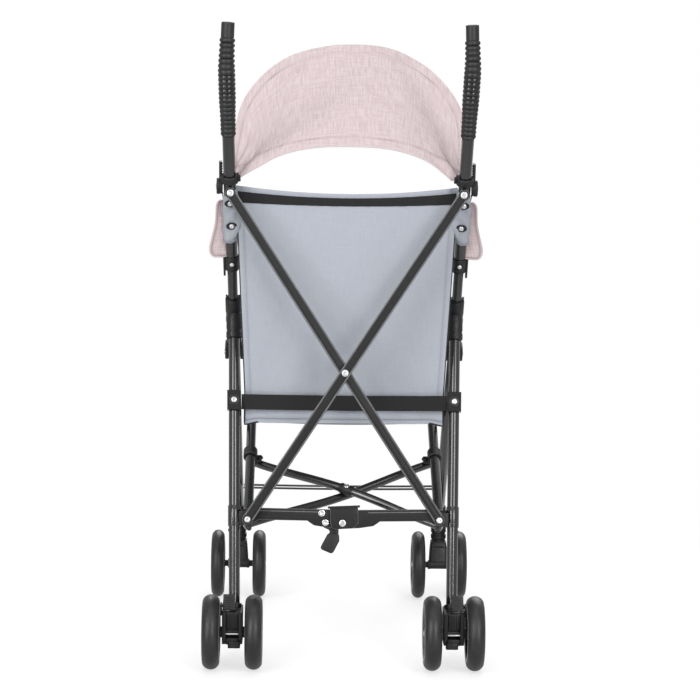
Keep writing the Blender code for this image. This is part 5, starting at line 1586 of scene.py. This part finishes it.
class STROLLER_OT_seat(bpy.types.Operator):
    """Builds the sling seat with its hems, the webbing across its back and the harness"""

    bl_idname = "stroller.seat"
    bl_label = "Seat"

    def execute(self, context):
        sizes = context.scene.stroller_sizes
        self.sling(sizes)
        self.upper_webbing(sizes)
        self.lower_webbing(sizes)
        self.footrest(sizes)
        self.harness(sizes)
        for name, side in SIDES.items():
            self.wrap(name, side, sizes)
        return {"FINISHED"}

    def sling(self, sizes):
        """One long cloth: the back, the seat and the apron over its front edge, with the back's hem."""
        columns = 72
        back_rows = 60
        seat_rows = 36
        edge_rows = 12
        grid = [2 * j / columns - 1 for j in range(columns + 1)]
        rows = [[back_point(across, i / back_rows) for across in grid] for i in range(back_rows + 1)]
        rows += [[seat_point(across, i / seat_rows) for across in grid] for i in range(seat_rows + 1)]
        last = rows[-1]
        for i in range(1, edge_rows + 1):
            share = i / edge_rows
            row = []
            for j, point in enumerate(last):
                wave = 0.0022 * sin(j * 0.42) * share
                forward = 0.0105 * sin(min(1.0, share * 1.8) * pi / 2)
                row.append(point + Vector((0, forward + wave, -APRON_DROP * share)))
            rows.append(row)
        side_gap = [BACK_TOP[0] * (1 - abs(across)) for across in grid]
        seam = []
        for row in rows:
            from_top = (row[columns // 2] - rows[0][columns // 2]).length
            from_end = (row[columns // 2] - rows[-1][columns // 2]).length
            seam.append(
                [min(abs(gap - 0.009), abs(from_top - 0.007), abs(from_end - 0.01)) for gap in side_gap]
            )
        made = Shell()
        wide, long = made.sheet(rows, sizes.cloth, -1, 0, seam)
        for edge in (0, -1):
            hem = [row[edge] for row in rows[3:back_rows + 1]]
            made.tube(hem, 0.0014, 12, 1)
        sling = made.piece("sling_cloth", "left_frame", ("grey", "binding"), "seat_sling")
        folds_with_frame(sling)

        # The hem that hangs below the lower webbing, its two corners flared over the rails.
        hem_rows = []
        for i in range(edge_rows + 1):
            share = i / edge_rows
            row = []
            for across in grid:
                base = back_point(across, 0.915)
                flare = smooth(0.86, 1.0, abs(across))
                drop = 0.0355 * share * (1 + 0.1 * flare)
                away = 0.0016 + 0.002 * share + 0.004 * flare * share + 0.0006 * sin(across * 21) * share
                row.append(base + Vector((0, -away, -drop)))
            hem_rows.append(row)
        hem_seam = [[abs(0.006 - 0.036 * (1 - i / edge_rows))] * len(grid) for i in range(edge_rows + 1)]
        made = Shell()
        wide, long = made.sheet(hem_rows, sizes.cloth, -1, 0, hem_seam)
        made.tube(hem_rows[-1], 0.0013, 12, 0)
        for corner in (0, -1):
            along_hem = hem_rows[-1][1:6] if corner == 0 else hem_rows[-1][-2:-7:-1]
            made.tube([row[corner] for row in hem_rows[4:]] + along_hem, 0.0017, 12, 1)
        hem = made.piece("back_hem", "left_frame", ("grey", "binding"))
        folds_with_frame(hem)

    def upper_webbing(self, sizes):
        """The webbing sewn along the back's top, narrower in the middle, where the cloth sags."""
        made = Shell()
        rows = []
        lines = 6
        columns = 72
        for i in range(lines + 1):
            row = []
            for j in range(columns + 1):
                across = 2 * j / columns - 1
                centre = 1 - across**2
                drop = 0.0088 - 0.0014 * centre + (0.0185 - 0.0042 * centre) * i / lines
                down = drop / (BACK_TOP[2] - BACK_FOOT[2])
                point = back_point(across * 0.985, down)
                row.append(point - AHEAD * (0.0006 + 0.0004 * sin(across * 40)))
            rows.append(row)
        seam = [[0.0022 * min(i, lines - i)] * (columns + 1) for i in range(lines + 1)]
        wide, long = made.sheet(rows, sizes.webbing, -1, 0, seam)
        webbing = made.piece("upper_back_webbing", "left_frame", ("webbing",))
        folds_with_frame(webbing)

    def band(self, start, end, wide_way, thick_way, width, sag, sizes, columns=48, twist=0.0):
        """A strap hung between two places."""
        rows = []
        for i in range(5):
            row = []
            for j in range(columns + 1):
                share = j / columns
                centre = mix(start, end, share) - UP * sag * sin(pi * share)
                offset = (i / 4 - 0.5) * width
                ripple = thick_way * twist * sin(share * 26 + i * 0.6)
                row.append(centre + wide_way * offset + ripple)
            rows.append(row)
        made = Shell()
        seam = [[width / 2 * (1 - abs(i / 2 - 1)) + 0.001] * (columns + 1) for i in range(5)]
        flat = made.sheet(rows, sizes.webbing, 1, 0, seam)
        return made, flat

    def lower_webbing(self, sizes):
        """The strap pulled tight behind the back, between the two saddles on the legs."""
        ends = []
        for side in (-1, 1):
            place = leg_at(side, STRAP_UP) - ACROSS * side * (0.0235 / 2 + 0.0003)
            place.y -= 0.0072
            ends.append(place)
        made, flat = self.band(ends[0], ends[1], -UP, AHEAD, STRAP_WIDTH, 0.001, sizes, 60, 0.0003)
        strap = made.piece("lower_back_webbing", "left_frame", ("webbing",), "lower_webbing")
        folds_with_frame(strap)

    def footrest(self, sizes):
        """Two strips between the front legs, one behind the other."""
        ends = []
        for side in (-1, 1):
            hinge = push_hinge(side)
            foot = on_side(side, FRONT_LEG_FOOT)
            place = mix(hinge, foot, (hinge.z - FOOTREST_UP) / (hinge.z - foot.z))
            ends.append(place - ACROSS * side * (FRONT_LEG_RADIUS + 0.0005))
        for label, edge, nodes in (("rear", -1, ("footrest_strap",)), ("front", 1, ())):
            shift = AHEAD * edge * (FOOTREST_DEPTH - FOOTREST_STRIP) / 2
            made, flat = self.band(
                ends[0] + shift, ends[1] + shift, AHEAD, UP, FOOTREST_STRIP, 0.0015, sizes
            )
            strap = made.piece(f"footrest_{label}_strip", "left_front_leg", ("webbing",), *nodes)
            folds_with_frame(strap)

    def harness(self, sizes):
        """The waist strap with its plain buckle, and the crotch strap below it."""
        made = Shell()
        lap = []
        steps = 40
        for i in range(steps + 1):
            share = 2 * i / steps - 1
            ahead = 0.178 + 0.1 * (1 - share * share)
            lap.append(spot(0.118 * share, ahead, 0.408 + 0.03 * (1 - abs(share))))
        rows = [[place + UP * 0.022 * (0.5 - i / 4) for place in lap] for i in range(5)]
        made.sheet(rows, sizes.webbing, 1)
        centre = lap[steps // 2]
        made.box(centre, (0.046, 0.01, 0.034), SQUARE, 0.0026, 1)
        made.box(centre - AHEAD * 0.0052, (0.03, 0.0016, 0.022), SQUARE, 0.0008, 2)
        for edge in (-1, 1):
            made.box(centre + ACROSS * edge * 0.0235, (0.008, 0.007, 0.027), SQUARE, 0.0018, 1)
        low = seat_point(0, 0.5) + UP * 0.002
        high = centre - UP * 0.012
        crotch = [mix(low, high, j / 12) + AHEAD * 0.004 * sin(pi * j / 12) for j in range(13)]
        strap = [[place + ACROSS * 0.024 * (i / 4 - 0.5) for place in crotch] for i in range(5)]
        made.sheet(strap, sizes.webbing, 1)
        harness = made.piece("lap_harness", "left_frame", ("webbing", "gloss", "plastic"), "harness")
        folds_with_frame(harness)

    def wrap(self, name, side, sizes):
        """The grey tab sewn to the seat's top corner and buttoned round the push tube."""
        made = Shell()
        way = push_way(side)
        top = push_at(side, TAB_UP)
        rearward = (-AHEAD - way * (-AHEAD).dot(way)).normalized()
        inward = ACROSS * -side
        inward = (inward - way * inward.dot(way)).normalized()
        rows = []
        columns = 36
        lines = 32
        for i in range(lines + 1):
            share = i / lines
            row = []
            for j in range(columns + 1):
                turn = radians(-TAB_HALF_TURN + 2 * TAB_HALF_TURN * j / columns)
                inner = max(0.0, sin(turn))
                outer = max(0.0, -sin(turn))
                bulge = 0.0088 * smooth(0.18, 0.7, share) * (1 - smooth(0.84, 1.0, share))
                radius = TAB_RADIUS + bulge * inner + 0.001 * outer + 0.0009 * sin(share * 17 + turn * 3)
                drop = TAB_LENGTH * share * (1 - 0.12 * inner**2 * smooth(0.5, 1.0, share))
                drop -= 0.01 * (1 - share) * inner
                place = top - way * drop
                row.append(place + (rearward * cos(turn) + inward * sin(turn)) * radius)
            rows.append(row)
        half = TAB_RADIUS * radians(TAB_HALF_TURN)
        edge = [half * (1 - abs(2 * j / columns - 1)) for j in range(columns + 1)]
        seam = []
        for i in range(lines + 1):
            gap = TAB_LENGTH * (1 - i / lines)
            seam.append([min(abs(gap - 0.003), abs(value - 0.003)) for value in edge])
        wide, long = made.sheet(rows if side < 0 else [row[::-1] for row in rows], sizes.cloth, 1, 0, seam)
        tab = made.piece(f"{name}_corner_tab", f"{name}_frame", ("grey",))
        studs = Shell()
        for drop, tilt in ((0.011, 0.0), (0.0525, 0.12)):
            normal = (rearward + inward * tilt).normalized()
            place = top - way * drop + normal * 0.0128
            up_way = (way - normal * way.dot(normal)).normalized()
            flat_way = up_way.cross(normal)
            outline = [(0.009 * u, 0.0064 * v) for u, v in arc(0, 0, 1, 0, 360, 28)[:-1]]
            studs.slab(outline, place, (flat_way, up_way, normal), -0.0006, 0.0016, 0.0006)
            studs.rivet(place + normal * 0.0013, normal, 0.0042, 0.0019, 1)
        studs.piece(f"{name}_tab_studs", f"{name}_frame", ("plastic", "steel"))


def arch(half, reach, angle, start, steps, shift=0.0):
    """A bow's line from foot to foot, with square shoulders, and drawn in above its feet."""
    out = Vector((0, cos(radians(angle)), sin(radians(angle))))
    hinge = spot(0, HINGE_AHEAD, HINGE_UP) + ACROSS.cross(out) * shift
    low = asin(start / reach)
    points = []
    for i in range(steps + 1):
        turn = low + (pi - 2 * low) * i / steps
        sideways = cos(turn)
        spread = abs(sideways) ** (2 / CANOPY_POWER) * (1 if sideways > 0 else -1)
        rise = sin(turn) ** (2 / CANOPY_POWER)
        tuck = 1 - 0.062 * smooth(0.0, 0.1, rise) * (1 - smooth(0.22, 0.62, rise))
        tuck -= 0.016 * smooth(0.1, 0.45, rise)
        lean = 0.0062 * smooth(0.08, 0.5, rise) + 0.007 * smooth(0.9, 1.0, rise)
        points.append(hinge + ACROSS * (half * spread * tuck + lean) + out * reach * rise)
    return points


def rear_arch(steps):
    """The canopy's rear hem, a low arch between the push tubes."""
    half, ahead, up, top = CANOPY_REAR
    points = []
    for i in range(steps + 1):
        share = 1 - 2 * i / steps
        across = half * share + 0.003 * (1 - share**2)
        points.append(spot(across, ahead, top - (top - up) * abs(share) ** 2.75))
    return points


class STROLLER_OT_canopy(bpy.types.Operator):
    """Builds the canopy's cloth, its two bows and its side flaps"""

    bl_idname = "stroller.canopy"
    bl_label = "Canopy"

    def execute(self, context):
        sizes = context.scene.stroller_sizes
        self.cover(sizes)
        bows = zip(("middle", "front"), CANOPY_ANGLES, ("left_frame", "canopy_bow"))
        for label, angle, body in bows:
            made = Shell()
            line = arch(CANOPY_HALF - BOW_INSET, CANOPY_REACH - BOW_INSET, angle, BOW_START, CANOPY_STEPS)
            made.tube(line, BOW_RADIUS, 16)
            bow = made.piece(f"{label}_bow_wire", body, ("plastic",), f"canopy_{label}_bow")
            folds_with_frame(bow)
        for name, side in SIDES.items():
            self.flap(name, side, sizes)
        return {"FINISHED"}

    def cover(self, sizes):
        """The canopy's two panels, with a sewn sleeve round the middle bow and a hem at each end."""
        middle_angle, front_angle = CANOPY_ANGLES
        behind = arch(CANOPY_HALF, CANOPY_REACH, middle_angle, CANOPY_START, CANOPY_STEPS, CANOPY_SLEEVE)
        before = arch(CANOPY_HALF, CANOPY_REACH, middle_angle, CANOPY_START, CANOPY_STEPS, -CANOPY_SLEEVE)
        front = arch(CANOPY_HALF, CANOPY_REACH, front_angle, CANOPY_START, CANOPY_STEPS)
        rear = rear_arch(CANOPY_STEPS)
        inside = spot(0, HINGE_AHEAD + 0.08, HINGE_UP)
        rows = []
        seam = []
        panels = ((rear, behind, 34), (behind, before, 4), (before, front, 26))
        for lines, (first, second, count) in enumerate(panels):
            for i in range(count + (lines == 2)):
                share = i / count
                row = []
                marks = []
                for j, (a, b) in enumerate(zip(first, second)):
                    point = mix(a, b, share)
                    length = (b - a).length
                    height = (max(point.z - HINGE_UP, 0) / CANOPY_REACH) ** 0.5
                    slack = 0.026 * sin(pi * share) * height
                    across = j / CANOPY_STEPS
                    corner = abs(2 * across - 1)
                    wrinkle = 0.0
                    if lines == 0:
                        # Creases fan out from the two lower rear corners.
                        spread = smooth(0.62, 0.93, corner) * (1 - smooth(0.25, 0.9, share))
                        wrinkle = 0.0044 * spread * sin(share * 19 + corner * 8 + across * 2)
                        wrinkle += 0.0006 * sin(across * 31 + share * 3) * sin(pi * share) * height
                    if lines == 2:
                        wrinkle = 0.0007 * sin(across * 43) * sin(pi * share) * height
                    to_edges = [share * length, (1 - share) * length]
                    near = min(abs(to_edges[0] - sizes.seam * 1.1), abs(to_edges[1] - sizes.seam))
                    if lines == 1:
                        near = 1.0
                    groove = 0.0009 * (1 - smooth(0.0, 0.0022, near))
                    pull = (inside - point).normalized()
                    row.append(point + (inside - point) * slack + pull * (wrinkle + groove))
                    marks.append(near)
                rows.append(row)
                seam.append(marks)
        joined = panels[0][2] + panels[1][2]
        back = (
            rows[:joined + 1], seam[:joined + 1], rows[0], "left_frame", ("canopy_cover",), "middle_bow_wire"
        )
        visor = (rows[joined:], seam[joined:], rows[-1], "canopy_bow", (), "front_bow_wire")
        for name, (cut, marks, hem, body, nodes, bow) in (("cloth", back), ("visor", visor)):
            made = Shell()
            wide, long = made.sheet(cut, sizes.cloth, -1, 0, marks, True)
            area = sheet_area(cut)
            made.tube(hem, 0.0013, 12, 0)
            panel = made.piece(f"canopy_{name}_shell", body, ("pink",), *nodes)
            folds_with_frame(panel)

    def flap(self, name, side, sizes):
        """The canopy's side wing that hangs outside the push tube below its hinge."""
        made = Shell()
        outward = ACROSS * side
        lean = (AHEAD * 0.3 - outward * 0.95).normalized()
        top_ahead = push_at(side, FLAP_UP).y
        rows = []
        seam = []
        count = 48
        for i in range(count + 1):
            share = i / count
            up = FLAP_UP - FLAP_DROP * share
            tube = push_at(side, up)
            end = sqrt(max(0.0, 1 - max(0.0, (share - 0.8) / 0.2) ** 2))
            outer = 0.21 + 0.0035 * share + 0.0092 * smooth(0.3, 0.95, share)
            top = sqrt(max(0.0, 1 - max(0.0, (0.14 - share) / 0.14) ** 2))
            outer -= 0.0095 * (1 - end) + 0.0075 * (1 - top)
            width = (0.03 + 0.016 * smooth(0.2, 0.8, share)) * (0.3 + 0.7 * end)
            start = Vector((side * outer, mix(top_ahead, tube.y, 0.45) + 0.0125, up))
            row = []
            marks = []
            for j in range(25):
                across = j / 24
                belly = 0.0034 * sin(pi * across) * sin(pi * min(1.0, share * 1.05))
                belly += 0.0008 * sin(share * 17 + across * 6) * across
                row.append(start + lean * width * across + (outward * 0.62 - AHEAD * 0.3) * belly)
                to_edge = min(width * across, width * (1 - across), 0.1 * (1 - share) + 0.001)
                marks.append(abs(to_edge - 0.0034))
            rows.append(row)
            seam.append(marks)
        made.sheet(rows, sizes.cloth, side, 0, seam)
        area = sheet_area(rows)
        rim = [row[-1] for row in rows] + [row[0] for row in rows[::-1]]
        made.tube(rim, 0.0011, 10, 0)
        flap = made.piece(f"{name}_canopy_flap", f"{name}_frame", ("pink",))


def sheet_area(rows):
    """The area of a grid of points."""
    total = 0.0
    for upper, lower in zip(rows, rows[1:]):
        for j in range(len(upper) - 1):
            total += (upper[j + 1] - upper[j]).cross(lower[j] - upper[j]).length / 2
            total += (lower[j + 1] - lower[j]).cross(lower[j + 1] - upper[j + 1]).length / 2
    return total


class Surroundings(Finish):
    """The studio's pale room: plain white where the camera looks past the stroller."""

    def __init__(self, name):
        self.material = bpy.data.worlds.new(name)
        self.material.use_nodes = True
        self.tree = self.material.node_tree
        self.shader = self.tree.nodes["Background"]


def floor_paper(colour, glow, near, far):
    """Pale paper that catches the shadows near the wheels and fades into the white room."""
    look = Finish("floor_paper")
    seen = look.node("ShaderNodeLightPath", out="Is Camera Ray")
    mirrored = look.node("ShaderNodeLightPath", out="Is Glossy Ray")
    place = look.place()
    across = look.node("ShaderNodeSeparateXYZ", None, [place], out=0)
    ahead = look.node("ShaderNodeSeparateXYZ", None, [place], out=1)
    away = (across * across + ahead * ahead) ** 0.5
    look.shader.inputs["Specular IOR Level"].default_value = 0.1
    look.shader.inputs["Emission Strength"].default_value = 1.0
    return look.set(
        Base_Color=colour,
        Roughness=0.9,
        Emission_Color=look.blend(seen + mirrored * 0.5, (0.0, 0.0, 0.0, 1.0), (glow, glow, glow, 1.0)),
        Alpha=1.0 - away.held(near, far),
    )


class STROLLER_OT_stage(bpy.types.Operator):
    """Sets the pale floor, the soft studio light and the camera"""

    bl_idname = "stroller.stage"
    bl_label = "Stage"

    def execute(self, context):
        scene = context.scene
        scene.view_settings.view_transform = "Standard"
        mesh = bpy.data.meshes.new("floor")
        corners = [(u * FLOOR_HALF, v * FLOOR_HALF, 0) for u, v in ((-1, -1), (1, -1), (1, 1), (-1, 1))]
        mesh.from_pydata(corners, [], [(0, 1, 2, 3)])
        floor = bpy.data.objects.new("floor", mesh)
        floor.data.materials.append(floor_paper((0.46, 0.46, 0.46, 1.0), 0.63, 0.5, 1.3))
        scene.collection.objects.link(floor)
        room = Surroundings("studio")
        seen = room.node("ShaderNodeLightPath", out="Is Camera Ray")
        mirrored = room.node("ShaderNodeLightPath", out="Is Glossy Ray")
        through = room.node("ShaderNodeLightPath", out="Is Transmission Ray")
        room.set(Color=(1.0, 1.0, 1.0, 1.0))
        scene.world = room.set(Strength=(seen + through) * (1.0 - AMBIENT) + mirrored * 0.15 + AMBIENT)
        for name, place, size, power in LAMPS:
            self.lamp(scene, name, place, size, power)
        camera = bpy.data.cameras.new("camera")
        camera.sensor_width = SENSOR_WIDTH
        camera.lens = SENSOR_WIDTH * FOCAL_PIXELS / PICTURE_WIDTH
        camera.clip_start = 0.1
        camera.clip_end = 60.0
        eye = bpy.data.objects.new("camera", camera)
        eye.location = CAMERA_PLACE
        eye.rotation_euler = [radians(angle) for angle in CAMERA_TURN]
        scene.collection.objects.link(eye)
        scene.camera = eye
        return {"FINISHED"}

    def lamp(self, scene, name, place, size, power):
        data = bpy.data.lights.new(name, "AREA")
        data.shape = "RECTANGLE"
        data.size, data.size_y = size
        data.energy = power
        made = bpy.data.objects.new(name, data)
        made.location = place
        made.rotation_euler = (Vector((0, 0, 0.5)) - Vector(place)).to_track_quat("-Z", "Y").to_euler()
        scene.collection.objects.link(made)


OPERATORS = (
    STROLLER_OT_finishes,
    STROLLER_OT_stage,
    STROLLER_OT_side_tubes,
    STROLLER_OT_grips,
    STROLLER_OT_brackets,
    STROLLER_OT_rear_cross,
    STROLLER_OT_seat_frame,
    STROLLER_OT_casters,
    STROLLER_OT_wheels,
    STROLLER_OT_seat,
    STROLLER_OT_canopy,
)


class STROLLER_PT_panel(bpy.types.Panel):
    """Lists the stroller's pieces and finishes"""

    bl_label = "Stroller"
    bl_idname = "STROLLER_PT_panel"
    bl_space_type = "VIEW_3D"
    bl_region_type = "UI"
    bl_category = "Stroller"

    def draw(self, context):
        for group in (context.scene.stroller_colours, context.scene.stroller_sizes):
            for key in group.__annotations__:
                self.layout.prop(group, key)
        for operator in OPERATORS:
            self.layout.operator(operator.bl_idname)


CLASSES = (StrollerColours, StrollerSizes, *OPERATORS, STROLLER_PT_panel)


def register():
    for item in CLASSES:
        bpy.utils.register_class(item)
    bpy.types.Scene.stroller_colours = bpy.props.PointerProperty(type=StrollerColours)
    bpy.types.Scene.stroller_sizes = bpy.props.PointerProperty(type=StrollerSizes)


def unregister():
    del bpy.types.Scene.stroller_sizes
    del bpy.types.Scene.stroller_colours
    for item in reversed(CLASSES):
        bpy.utils.unregister_class(item)


def main():
    register()
    bpy.ops.stroller.finishes()
    bpy.ops.stroller.stage()
    bpy.ops.stroller.side_tubes()
    bpy.ops.stroller.grips()
    bpy.ops.stroller.brackets()
    bpy.ops.stroller.rear_cross()
    bpy.ops.stroller.seat_frame()
    bpy.ops.stroller.casters()
    bpy.ops.stroller.wheels()
    bpy.ops.stroller.seat()
    bpy.ops.stroller.canopy()


if __name__ == "__main__":
    main()
